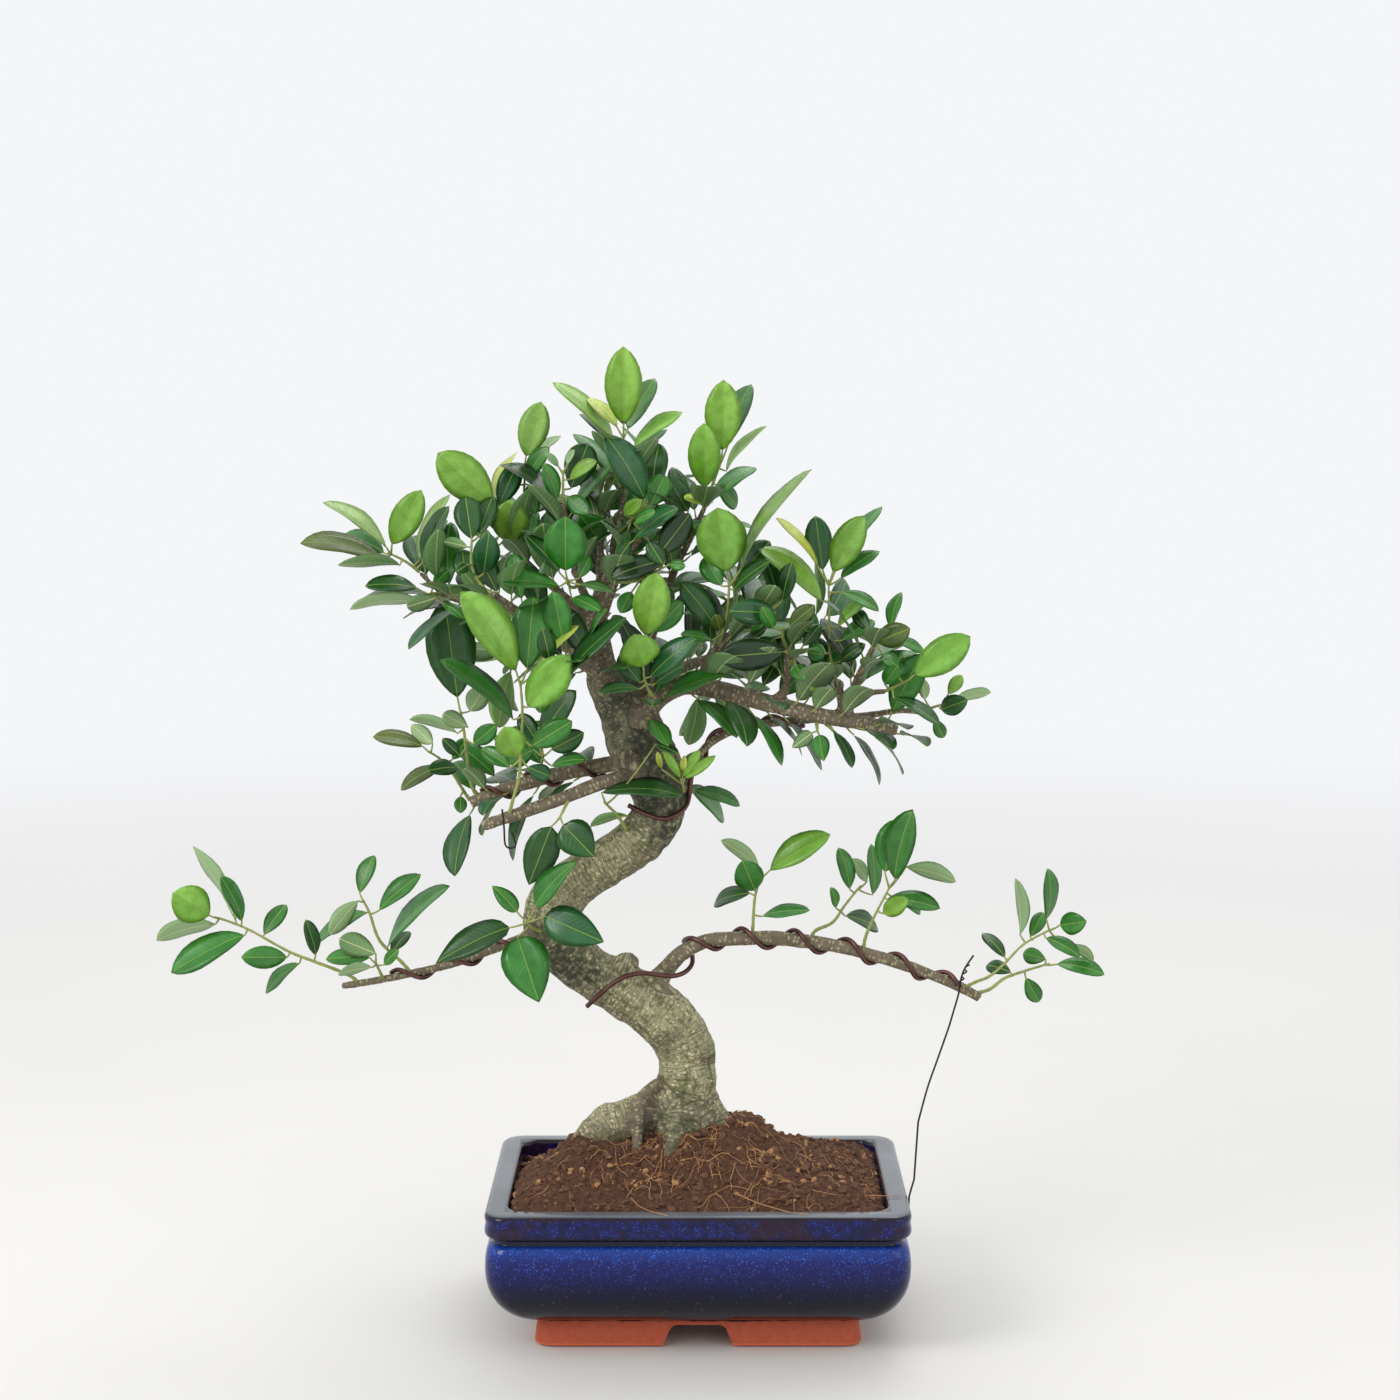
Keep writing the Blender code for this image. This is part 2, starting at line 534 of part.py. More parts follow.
# Shoots that fill the back: stem, number of leaves, blade length and the first leaf's bearing in degrees
SPIRAL_SHOOTS = {
    "rear_left_end": ([(-91, 363.4, 62), (-99, 371, 68), (-108, 380, 72)], 7, 34, 20),
    "rear_left_low": ([(-84, 360, 54), (-90, 352, 62), (-97, 344, 68)], 6, 32, 200),
    "rear_right_end": ([(43, 352.8, 69.5), (53, 357, 74), (63, 364, 76)], 7, 34, 10),
    "rear_right_mid": ([(22, 350, 60), (24, 362, 66), (23, 376, 69)], 6, 34, 120),
    "rear_right_low": ([(-1, 344, 46), (0, 338, 58), (3, 330, 68)], 6, 32, 60),
    "rear_top_end": ([(-31, 412.6, 51), (-26, 422, 57), (-22, 434, 60)], 7, 34, 40),
    "rear_top_mid": ([(-42, 391, 38), (-50, 402, 47), (-56, 414, 52)], 6, 33, 100),
}


def smoothed(points, pieces):
    """Points along a smooth curve through the given points, which may carry a thickness."""
    ends = [points[0], *points, points[-1]]
    curve = []
    for first, a, b, last in zip(ends, ends[1:], ends[2:], ends[3:]):
        for step in range(pieces):
            t = step / pieces
            curve.append(
                tuple(
                    q
                    + 0.5 * (r - p) * t
                    + 0.5 * (2 * p - 5 * q + 4 * r - s) * t**2
                    + 0.5 * (3 * q - p - 3 * r + s) * t**3
                    for p, q, r, s in zip(first, a, b, last)
                )
            )
    return [*curve, points[-1]]


def placed(x, z, depth):
    """Where a point drawn at x, z on the elevation stands when it is pushed back by depth."""
    push = (depth - EYE_DRAWN.y) / -EYE_DRAWN.y
    drawn = Vector((x, 0.0, z))
    eye = Vector((EYE_DRAWN.x, 0.0, EYE_DRAWN.z))
    drawn = eye + (drawn - eye) * push
    return Vector((drawn.x, depth, drawn.z - SOIL_LINE_DRAWN)) * TREE_SCALE + TREE_FOOT


def finished_mesh(bm, name):
    bmesh.ops.triangulate(bm, faces=bm.faces)
    bmesh.ops.recalc_face_normals(bm, faces=bm.faces)
    mesh = bpy.data.meshes.new(name)
    bm.to_mesh(mesh)
    bm.free()
    return mesh


def tube(points, radii, resolution):
    """A mesh tube with flat caps and 4 + 2 * resolution sides."""
    curve = bpy.data.curves.new("tube", "CURVE")
    curve.dimensions = "3D"
    curve.bevel_depth = 1.0
    curve.bevel_resolution = resolution
    curve.use_fill_caps = True
    spline = curve.splines.new("POLY")
    spline.points.add(len(points) - 1)
    for point, place, radius in zip(spline.points, points, radii):
        point.co = (*place, 1.0)
        point.radius = radius
    holder = bpy.data.objects.new("tube", curve)
    bpy.context.scene.collection.objects.link(holder)
    graph = bpy.context.evaluated_depsgraph_get()
    mesh = bpy.data.meshes.new_from_object(holder.evaluated_get(graph))
    bpy.data.objects.remove(holder)
    bpy.data.curves.remove(curve)
    bm = bmesh.new()
    bm.from_mesh(mesh)
    bmesh.ops.remove_doubles(bm, verts=bm.verts, dist=0.00001)
    return finished_mesh(bm, "tube")


def limb(points, pieces, resolution, swell=0.0):
    """A tapering tube along drawn points; swell widens it, for the pocket that it sits in."""
    curve = smoothed(points, pieces)
    centres = [placed(x, z, depth) for x, z, depth, _ in curve]
    radii = [0.5 * thickness * GIRTH_SCALE + swell for *_, thickness in curve]
    if swell:
        centres.append(centres[-1] + (centres[-1] - centres[-2]).normalized() * swell)
        radii.append(radii[-1])
    return tube(centres, radii, resolution)


def joined(meshes):
    """The union of several closed meshes, as one mesh."""
    if len(meshes) == 1:
        return meshes[0]
    others = bpy.data.collections.new("others")
    objects = [bpy.data.objects.new("piece", mesh) for mesh in meshes]
    bpy.context.scene.collection.objects.link(objects[0])
    for piece in objects[1:]:
        others.objects.link(piece)
    union = objects[0].modifiers.new("join", "BOOLEAN")
    union.operation = "UNION"
    union.solver = "MANIFOLD"
    union.operand_type = "COLLECTION"
    union.collection = others
    graph = bpy.context.evaluated_depsgraph_get()
    mesh = bpy.data.meshes.new_from_object(objects[0].evaluated_get(graph))
    for piece in objects:
        bpy.data.objects.remove(piece)
    bpy.data.collections.remove(others)
    return mesh


def tree_of(mesh):
    """A search tree of a mesh's faces, for clearance tests."""
    corners = [vertex.co for vertex in mesh.vertices]
    return BVHTree.FromPolygons(corners, [tuple(face.vertices) for face in mesh.polygons])


def material(name, colour, roughness, metallic=0.0):
    made = bpy.data.materials.new(name)
    made.use_nodes = True
    shader = made.node_tree.nodes["Principled BSDF"]
    shader.inputs["Base Color"].default_value = (*colour, 1.0)
    shader.inputs["Roughness"].default_value = roughness
    shader.inputs["Metallic"].default_value = metallic
    return made


def piece(name, mesh, finish):
    """A named part of the bonsai, in its collection and on its stand."""
    mesh.name = name
    mesh.materials.clear()
    mesh.materials.append(finish)
    made = bpy.data.objects.new(name, mesh)
    bonsai.objects.link(made)
    made.parent = stand
    return made


def cutter(name, mesh):
    made = bpy.data.objects.new(name, mesh)
    made.hide_render = True
    made.display_type = "WIRE"
    made.parent = stand
    cutters.objects.link(made)
    return made


def cut(target, tool):
    difference = target.modifiers.new(tool.name, "BOOLEAN")
    difference.operation = "DIFFERENCE"
    difference.solver = "EXACT"
    difference.object = tool


def rounded_ring(half_x, half_y, radius, z, shift=0.0):
    """The corners of a rounded rectangle at height z, anticlockwise from +X."""
    ring = []
    for corner in range(4):
        sign_x = (1, -1, -1, 1)[corner]
        sign_y = (1, 1, -1, -1)[corner]
        for step in range(SEGMENTS_PER_CORNER + 1):
            angle = math.radians(90 * (corner + step / SEGMENTS_PER_CORNER))
            x = sign_x * (half_x - radius) + radius * math.cos(angle)
            y = sign_y * (half_y - radius) + radius * math.sin(angle)
            ring.append(Vector((x + shift, y, z)))
    return ring


def loft(rings):
    """A closed mesh through rings of equally many points, with flat ends."""
    bm = bmesh.new()
    loops = [[bm.verts.new(point) for point in ring] for ring in rings]
    for lower, upper in zip(loops, loops[1:]):
        for i in range(len(lower)):
            j = (i + 1) % len(lower)
            bm.faces.new((lower[i], lower[j], upper[j], upper[i]))
    bm.faces.new(loops[0][::-1])
    bm.faces.new(loops[-1])
    return finished_mesh(bm, "loft")


def inner_rings(clearance):
    """The pot's inner wall from its top edge down to the floor, moved in by a clearance."""
    floor = RECESS_HEIGHT + POT_FLOOR + clearance
    top = POT_HEIGHT - SOIL_BELOW_RIM
    return [
        (RIM_BAND + clearance, top),
        (RIM_BAND + clearance, 0.5 * POT_HEIGHT),
        (RIM_BAND + 0.4 * UNDERCUT + clearance, floor + 0.006),
        (RIM_BAND + 0.62 * UNDERCUT + clearance, floor),
    ]


def pot_ring(inset, z, radius=POT_CORNER, shift=0.0):
    return rounded_ring(0.5 * POT_WIDTH - inset, 0.5 * POT_DEPTH - inset, radius, z, shift)


def make_pot():
    """Feet, belly, groove, rolled rim, then the inside; arches and drain holes are cut afterwards."""
    foot_x = 0.5 * FOOT_WIDTH
    foot_y = 0.5 * FOOT_DEPTH
    rings = [
        rounded_ring(foot_x - FOOT_BAND - 0.001, foot_y - FOOT_BAND - 0.001, 0.006, RECESS_HEIGHT),
        rounded_ring(foot_x - FOOT_BAND, foot_y - FOOT_BAND, 0.006, 0.0),
        rounded_ring(foot_x, foot_y, 0.010, 0.0),
        rounded_ring(foot_x - 0.0015, foot_y - 0.0015, 0.010, FOOT_HEIGHT - 0.001),
    ]
    groove_low = POT_HEIGHT - RIM_HEIGHT - GROOVE_HEIGHT
    widest = FOOT_HEIGHT + 0.70 * (groove_low - FOOT_HEIGHT)
    for degrees in (0, 22, 44, 66, 90):
        angle = math.radians(degrees)
        inset = UNDERCUT * (1 - math.sin(angle))
        height = widest - (widest - FOOT_HEIGHT - 0.001) * math.cos(angle)
        rings.append(pot_ring(inset, height))
    rings += [
        pot_ring(0.0012, groove_low - 0.003),
        pot_ring(GROOVE_DEPTH, groove_low),
        pot_ring(GROOVE_DEPTH, groove_low + GROOVE_HEIGHT),
        pot_ring(0.0006, groove_low + GROOVE_HEIGHT + 0.0008),
        pot_ring(0.0, POT_HEIGHT - 0.8 * RIM_HEIGHT),
        pot_ring(0.0007, POT_HEIGHT - 0.5 * RIM_HEIGHT),
        pot_ring(0.0, POT_HEIGHT - 0.2 * RIM_HEIGHT),
        pot_ring(0.0014, POT_HEIGHT),
        pot_ring(RIM_BAND - 0.0008, POT_HEIGHT),
    ]
    rings += [pot_ring(inset, z) for inset, z in inner_rings(0.0)]
    pot = piece("pot", loft(rings), material("cobalt_glaze", (0.02, 0.025, 0.22), 0.16))
    for name, turn in (("front_arch", 0.0), ("side_arch", math.radians(90))):
        outline = [
            Vector((-0.5 * ARCH_WIDTH, 0, -0.01)), Vector((0.5 * ARCH_WIDTH, 0, -0.01)),
            Vector((0.5 * ARCH_WIDTH, 0, 0)), Vector((0.5 * ARCH_TOP_WIDTH, 0, ARCH_HEIGHT)),
            Vector((-0.5 * ARCH_TOP_WIDTH, 0, ARCH_HEIGHT)), Vector((-0.5 * ARCH_WIDTH, 0, 0)),
        ]
        reach = Vector((0, 0.6 * max(POT_WIDTH, POT_DEPTH), 0))
        arch = loft([[p - reach for p in outline], [p + reach for p in outline]])
        arch.transform(Matrix.Rotation(turn, 4, "Z"))
        cut(pot, cutter(name, arch))
    for name, side in (("left_drain", -1), ("right_drain", 1)):
        bm = bmesh.new()
        bore = 0.5 * DRAIN_DIAMETER
        length = 4 * POT_FLOOR
        bmesh.ops.create_cone(bm, cap_ends=True, segments=16, radius1=bore, radius2=bore, depth=length)
        drain = finished_mesh(bm, name)
        drain.transform(Matrix.Translation((side * 0.5 * DRAIN_SPACING, 0, RECESS_HEIGHT)))
        cut(pot, cutter(name, drain))


def box_mesh(size_x, size_y, size_z, place):
    bm = bmesh.new()
    bmesh.ops.create_cube(bm, size=1.0)
    bmesh.ops.scale(bm, vec=(size_x, size_y, size_z), verts=bm.verts)
    bmesh.ops.translate(bm, vec=place, verts=bm.verts)
    return finished_mesh(bm, "box")


def make_screens():
    """A square of plastic mesh over each drain hole, lying on the pot's floor under the soil."""
    plastic = material("black_mesh", (0.02, 0.02, 0.02), 0.6)
    z = RECESS_HEIGHT + POT_FLOOR + GAP + 0.5 * SCREEN_THICKNESS
    pitch = (SCREEN_SIZE - SCREEN_BORDER) / 3
    for name, side in (("left", -1), ("right", 1)):
        centre = Vector((side * 0.5 * DRAIN_SPACING, 0.0, z))
        square = box_mesh(SCREEN_SIZE, SCREEN_SIZE, SCREEN_THICKNESS, centre)
        sheet = piece("drainage_screen_" + name, square, plastic)
        holes = bmesh.new()
        for i in (-1, 0, 1):
            for j in (-1, 0, 1):
                place = centre + Vector((i, j, 0)) * pitch
                holes.from_mesh(box_mesh(SCREEN_HOLE, SCREEN_HOLE, 3 * SCREEN_THICKNESS, place))
        cut(sheet, cutter("screen_holes_" + name, finished_mesh(holes, "holes")))
        pocket_size = SCREEN_SIZE + 2 * GAP
        pocket_height = 2 * (SCREEN_THICKNESS + 2 * GAP)
        place = centre - Vector((0, 0, 0.5 * pocket_height - 0.5 * SCREEN_THICKNESS - GAP))
        pocket = box_mesh(pocket_size, pocket_size, pocket_height, place)
        pockets.append(cutter("screen_pocket_" + name, pocket))


def make_soil():
    """Soil that fills the pot and mounds up to the trunk, with a pocket for the roots."""
    inner = inner_rings(GAP)
    rings = [pot_ring(inset, z) for inset, z in reversed(inner)]
    edge = inner[0][1]
    reach = 0.5 * POT_DEPTH - RIM_BAND
    for share, rise in ((0.14, 0.22), (0.38, 0.62), (0.62, 0.88), (0.80, 1.0)):
        height = edge + rise * MOUND_HEIGHT
        rings.append(pot_ring(RIM_BAND + share * reach, height, shift=-0.006 * share))
    soil = piece("soil", loft(rings), material("potting_soil", (0.10, 0.045, 0.025), 0.95))
    buried = [limb(TRUNK[:6], 1, 3, GAP)] + [limb(root, 1, 2, GAP) for root in ROOTS.values()]
    heel = placed(TRUNK[0][0], TRUNK[0][1], 0)
    width = 2 * (0.5 * TRUNK[0][3] * GIRTH_SCALE + GAP)
    buried.append(box_mesh(0.6 * width, 0.6 * width, 4 * GAP, heel - Vector((0, 0, GAP))))
    pocket = cutter("root_pocket", joined(buried))
    for tool in [pocket, *pockets]:
        cut(soil, tool)


def make_wood():
    """Roots, trunk, branches and twigs, which grew as one piece."""
    parts = [limb(TRUNK, 1, 3)]
    parts += [limb(root, 1, 2) for root in ROOTS.values()]
    for points in LIMBS.values():
        thick = max(thickness for *_, thickness in points[1:])
        parts.append(limb(points, 1, 2 if thick > 6.9 else 1))
    wood = joined(parts)
    piece("trunk_and_branches", wood, material("ficus_bark", (0.30, 0.27, 0.17), 0.8))
    return tree_of(wood)


def coiled(points, start, end, turns, phase, radius):
    """Points of a wire that winds along a limb between two shares of its length."""
    curve = smoothed(points, 8)
    centres = [placed(x, z, depth) for x, z, depth, _ in curve]
    lengths = [0.0]
    for a, b in zip(centres, centres[1:]):
        lengths.append(lengths[-1] + (b - a).length)
    count = round(turns * POINTS_PER_TURN)
    wire = []
    for i in range(count + 1):
        reach = (start + (end - start) * i / count) * lengths[-1]
        k = max(j for j in range(len(centres) - 1) if lengths[j] <= reach)
        t = (reach - lengths[k]) / (lengths[k + 1] - lengths[k])
        centre = centres[k].lerp(centres[k + 1], t)
        along = (centres[k + 1] - centres[k]).normalized()
        thickness = curve[k][3] + (curve[k + 1][3] - curve[k][3]) * t
        away = (0.5 * thickness * GIRTH_SCALE + radius + GAP) / math.cos(math.pi / POINTS_PER_TURN)
        up = (Vector((0, 0, 1)) - along * along.z).normalized()
        out = Matrix.Rotation(math.radians(phase) + math.tau * turns * i / count, 3, along) @ up
        wire.append(centre + out * away)
    return wire


def clear_of_wood(points, radius, wood):
    """The same points, pushed out where a wire of this radius would touch the wood."""
    least = radius * 1.12 + GAP
    moved = []
    for point in points:
        for _ in range(3):
            place, normal, _, distance = wood.find_nearest(point)
            outside = (point - place).dot(normal) > 0
            if outside and distance >= least:
                break
            point = place + normal * (least * 1.02)
        moved.append(point)
    return moved


def make_wires(wood):
    """Training wires wound on the branches, the tie-down wire and a scrap left on a branch."""
    anodised = material("brown_anodised_wire", (0.12, 0.06, 0.05), 0.4, 1.0)
    steel = material("dark_steel_wire", (0.03, 0.03, 0.035), 0.45, 1.0)
    radius = 0.5 * TRAINING_WIRE
    low_right = [
        (-58, 164, -12), (-50, 171.5, -16), (-41, 178.5, -17), (-31, 181.5, -17), (-22, 181, -15.5),
        (-14, 180, -13), (-7, 182, -9), (-3, 187, -3), (-4, 194, 3), (-8, 199, 2),
    ]
    mid_right = [
        (-36, 270, -13), (-28, 266, -16), (-19, 263, -16), (-11, 265, -14), (-6, 270, -9),
        (-4.5, 276, -4),
    ]
    runs = {
        "training_wire_low_right": (low_right, coiled(LIMBS["low_right"], 0.175, 0.925, 5.2, 10, radius)),
        "training_wire_mid_right": (mid_right, coiled(LIMBS["thin_right"], 0.10, 0.56, 2.4, 60, radius)),
        "training_wire_low_left": ([], coiled(LIMBS["low_left"], 0.20, 0.78, 2.6, 200, radius)),
        "training_wire_mid_left": ([], coiled(LIMBS["left_back"], 0.24, 0.92, 2.7, 150, radius)),
    }
    made = []
    for name, (lead, coil) in runs.items():
        path = [placed(x, z, depth) for x, z, depth in smoothed(lead, 4)] if lead else []
        path = clear_of_wood(path + coil, radius, wood)
        mesh = tube(path, [radius] * len(path), 0)
        piece(name, mesh, anodised)
        made.append(tree_of(mesh))
    thin = 0.5 * TIE_WIRE
    side = 0.5 * POT_WIDTH
    lip = POT_HEIGHT - RIM_HEIGHT
    upper = [(143.5, 191, -18), (139, 184, -17.6), (137, 178, -17.4), (136, 171, -17.4), (133, 160, -19)]
    lower = [(130.6, 151.7, -20), (125, 135, -24), (120, 120, -28), (115.4, 102, -31)]
    path = [placed(x, z, depth) for x, z, depth in smoothed(upper + lower, 2)]
    hook_y = -0.032
    path += [
        Vector((side + 0.0036, hook_y, POT_HEIGHT + 0.006)),
        Vector((side + 0.0014, hook_y, POT_HEIGHT - 0.003)),
        Vector((side + 0.0011, hook_y, lip + 0.003)), Vector((side + 0.0010, hook_y, lip - 0.0002)),
        Vector((side - 0.0004, hook_y, lip - 0.5 * GROOVE_HEIGHT)),
        Vector((side - GROOVE_DEPTH + 2.2 * thin, hook_y, lip - 0.5 * GROOVE_HEIGHT)),
    ]
    path = clear_of_wood(path, thin, wood)
    mesh = tube(path, [thin] * len(path), 0)
    piece("tie_down_wire", mesh, steel)
    made.append(tree_of(mesh))
    clip = [
        (-101.5, 268, -29), (-100.6, 259, -29), (-100, 249.5, -28), (-97, 247.6, -27),
        (-94.6, 249.5, -27), (-96.6, 256, -26),
    ]
    path = clear_of_wood([placed(x, z, depth) for x, z, depth in smoothed(clip, 2)], thin, wood)
    mesh = tube(path, [thin] * len(path), 0)
    piece("wire_clip", mesh, steel)
    made.append(tree_of(mesh))
    return made


def stem_path(stem, wood):
    """A shoot's stem from just clear of the wood to its end."""
    curve = [placed(x, z, depth) for x, z, depth in smoothed(stem, 12)]
    clear = 0.5 * STEM_DIAMETER + GAP
    start = 0
    while start < len(curve) - 3:
        place, normal, _, distance = wood.find_nearest(curve[start])
        if distance >= clear and (curve[start] - place).dot(normal) > 0:
            break
        start += 1
    length = sum((b - a).length for a, b in zip(curve[start:], curve[start + 1 :]))
    count = max(2, round(length / STEM_SEGMENT))
    last = len(curve) - 1
    return [curve[round(start + (last - start) * i / count)] for i in range(count + 1)]


def nearest_on(path, point):
    """The point of a path, short of its ends, that is nearest to the given one."""
    best = None
    for a, b in zip(path, path[1:]):
        along = b - a
        t = min(0.92, max(0.08, (point - a).dot(along) / along.length_squared))
        place = a + along * t
        if best is None or (place - point).length < (best - point).length:
            best = place
    return best


def drawn_leaf(leaf, path, shift, roll):
    """Root, foot, tip, width and upper side of a leaf drawn on the elevation."""
    x, z, tip_x, tip_z, width, lean, shows = leaf
    root = nearest_on(path, placed(x, z, path[-1].y / TREE_SCALE))
    depth = root.y / TREE_SCALE
    foot = placed(x, z, depth + 0.25 * (lean + shift))
    tip = placed(tip_x, tip_z, depth + lean + shift)
    along = tip - foot
    length = along.length
    along.normalize()
    to_eye = (EYE - foot).normalized()
    facing = (to_eye - along * along.dot(to_eye)).normalized()
    across = along.cross(facing)
    if across.z < 0:
        across.negate()
    seen = width * TREE_SCALE
    wide = max(seen, LEAF_SLENDERNESS * length)
    turn = math.acos(seen / wide)
    normal = facing * (shows * math.cos(turn)) + across * math.sin(turn)
    normal = Matrix.Rotation(math.radians(roll), 3, along) @ normal
    return root, foot, tip, wide, normal


def spiral_leaf(number, count, path, length, bearing, shift, roll):
    """The same for a leaf that takes its place by number on the spiral round a stem's end."""
    along = (path[-1] - path[-2]).normalized()
    share = number / (count - 1)
    root = path[-1].lerp(path[-2], 0.1 + 0.8 * (1 - share))
    side = along.cross(Vector((0.3, -0.8, 0.2))).normalized()
    angle = math.radians(bearing + 137.5 * number + 1.2 * shift)
    out = Matrix.Rotation(angle, 3, along) @ side
    spread = math.radians(92 - 62 * share + 0.5 * roll)
    way = along * math.cos(spread) + out * math.sin(spread)
    foot = root + way * PETIOLE_LENGTH
    size = length * TREE_SCALE * (0.78 + 0.3 * ((number * 0.618) % 1.0))
    lower = (way + out * 0.35 - Vector((0, 0, 0.15))).normalized()
    tip = foot + lower * size
    normal = (along - lower * along.dot(lower)).normalized()
    return root, foot, tip, LEAF_SLENDERNESS * size, normal


def outline(share):
    """Half width of a blade at a share of its length, as a share of its greatest half width."""
    return share**0.9 * (1 - share) ** 0.62 / 0.358


def leaf_mesh(root, foot, tip, width, normal, from_root=True):
    """A thin blade on its stalk, lofted through three-cornered sections, with a keel, to a point."""
    along = tip - foot
    length = along.length
    along = along.normalized()
    side = along.cross(normal)
    sections = []
    rising = (foot - root).normalized()
    across = side
    for centre, way in ((foot, (rising + along).normalized()), (root, rising)):
        across = (across - way * across.dot(way)).normalized() * 0.5 * PETIOLE_DIAMETER
        sections.insert(0, [centre - across, centre + across, centre - across.cross(way)])
    if not from_root:
        sections.pop(0)
    for share in (0.36, 0.78):
        centre = foot + along * (length * share) + normal * (4 * LEAF_ARCH * length * share * (1 - share))
        half = 0.5 * width * outline(share)
        sections.append([centre - side * half, centre + side * half, centre - normal * LEAF_THICKNESS])
    points = [point for section in sections for point in section] + [tip]
    faces = [(0, 1, 2)]
    for a in range(0, 3 * (len(sections) - 1), 3):
        for b, c in ((a, a + 1), (a + 1, a + 2), (a + 2, a)):
            faces += [(b, c, c + 3), (b, c + 3, b + 3)]
    last = 3 * (len(sections) - 1)
    faces += [(last, last + 1, last + 3), (last + 1, last + 2, last + 3), (last + 2, last, last + 3)]
    return points, faces


def reach_of(points):
    low = Vector([min(p[i] for p in points) for i in range(3)])
    high = Vector([max(p[i] for p in points) for i in range(3)])
    return low, high


def apart(a, b):
    return any(a[0][i] > b[1][i] or b[0][i] > a[1][i] for i in range(3))


def find_room(name, number, path, obstacles, blades):
    """The points and faces of a leaf, turned aside as little as clears what already stands."""
    drawn = name in SHOOTS
    for roll in LEAF_ROLLS:
        for shift in LEAF_SHIFTS:
            if drawn:
                leaf = drawn_leaf(SHOOTS[name][1][number], path, shift, roll)
            else:
                _, count, length, bearing = SPIRAL_SHOOTS[name]
                leaf = spiral_leaf(number, count, path, length, bearing, shift, roll)
            points, faces = leaf_mesh(*leaf)
            whole = BVHTree.FromPolygons(points, faces)
            blade = BVHTree.FromPolygons(*leaf_mesh(*leaf, from_root=False))
            box = reach_of(points)
            blocked = any(
                owner != name and (reach is None or not apart(box, reach)) and whole.overlap(tree)
                for owner, tree, reach in obstacles
            )
            blocked = blocked or any(
                not apart(box, reach) and (blade if owner == name else whole).overlap(tree)
                for owner, tree, reach in blades
            )
            if not blocked:
                return points, faces, whole, blade, box
    return None


def make_shoots(wood, wires):
    """Each shoot is a green stem with its leaves, joined. A leaf turns aside where it meets another."""
    green = material("ficus_leaf", (0.05, 0.20, 0.04), 0.35)
    paths = {}
    stems = {}
    obstacles = [(None, tree, None) for tree in [wood, *wires]]
    for name, (stem, *_) in [*SHOOTS.items(), *SPIRAL_SHOOTS.items()]:
        path = stem_path(stem, wood)
        last = len(path) - 1
        radii = [0.5 * STEM_DIAMETER * (1 - STEM_TAPER * i / last) for i in range(last + 1)]
        paths[name] = path
        stems[name] = tube(path, radii, 0)
        corners = [vertex.co for vertex in stems[name].vertices]
        obstacles.append((name, tree_of(stems[name]), reach_of(corners)))
    blades = []
    for name, path in paths.items():
        count = len(SHOOTS[name][1]) if name in SHOOTS else SPIRAL_SHOOTS[name][1]
        meshes = [stems[name]]
        for number in range(count):
            room = find_room(name, number, path, obstacles, blades)
            if room is None:
                continue
            points, faces, whole, blade, box = room
            bm = bmesh.new()
            corners = [bm.verts.new(point) for point in points]
            for face in faces:
                bm.faces.new([corners[i] for i in face])
            meshes.append(finished_mesh(bm, "leaf"))
            blades.append((name, blade, box))
            obstacles.append((name, whole, box))
        piece("shoot_" + name, joined(meshes), green)


for old in list(bpy.data.objects):
    bpy.data.objects.remove(old)
bonsai = bpy.data.collections.new("bonsai")
cutters = bpy.data.collections.new("cutters")
bpy.context.scene.collection.children.link(bonsai)
bpy.context.scene.collection.children.link(cutters)
stand = bpy.data.objects.new("stand", None)
bonsai.objects.link(stand)
pockets = []

make_pot()
make_screens()
make_soil()
wood_tree = make_wood()
wire_trees = make_wires(wood_tree)
make_shoots(wood_tree, wire_trees)

# The origin is the middle of the whole object's footprint, on the surface that it stands on.
bpy.context.view_layer.update()
solids = [made for made in bonsai.objects if made.data]
corners = [made.matrix_world @ Vector(corner) for made in solids for corner in made.bound_box]
low_corner, high_corner = reach_of(corners)
stand.location = (-0.5 * (low_corner.x + high_corner.x), -0.5 * (low_corner.y + high_corner.y), 0.0)
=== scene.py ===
import math
import random
from functools import partial

import bmesh
import bpy
from mathutils import Matrix, Vector, noise
from mathutils.bvhtree import BVHTree
from mathutils.kdtree import KDTree


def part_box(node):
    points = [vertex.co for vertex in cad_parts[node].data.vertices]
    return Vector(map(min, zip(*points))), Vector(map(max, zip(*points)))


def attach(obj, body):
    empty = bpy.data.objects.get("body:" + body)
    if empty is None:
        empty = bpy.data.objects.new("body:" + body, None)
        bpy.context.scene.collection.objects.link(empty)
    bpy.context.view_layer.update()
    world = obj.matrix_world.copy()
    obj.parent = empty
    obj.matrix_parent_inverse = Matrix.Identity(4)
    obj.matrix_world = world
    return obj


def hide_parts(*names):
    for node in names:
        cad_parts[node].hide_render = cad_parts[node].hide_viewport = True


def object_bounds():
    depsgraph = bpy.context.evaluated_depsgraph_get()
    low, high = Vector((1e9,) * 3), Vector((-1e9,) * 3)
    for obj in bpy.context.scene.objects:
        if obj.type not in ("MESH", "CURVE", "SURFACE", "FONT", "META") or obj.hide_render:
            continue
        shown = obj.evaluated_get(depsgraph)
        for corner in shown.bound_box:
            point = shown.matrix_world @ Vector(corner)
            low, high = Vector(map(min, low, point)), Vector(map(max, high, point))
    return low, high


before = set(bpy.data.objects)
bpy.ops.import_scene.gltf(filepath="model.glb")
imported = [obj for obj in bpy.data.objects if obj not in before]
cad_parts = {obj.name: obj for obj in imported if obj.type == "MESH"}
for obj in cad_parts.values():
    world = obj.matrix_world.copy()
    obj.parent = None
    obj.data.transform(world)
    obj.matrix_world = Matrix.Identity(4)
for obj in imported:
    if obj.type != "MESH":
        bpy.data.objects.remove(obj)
cad_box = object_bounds()


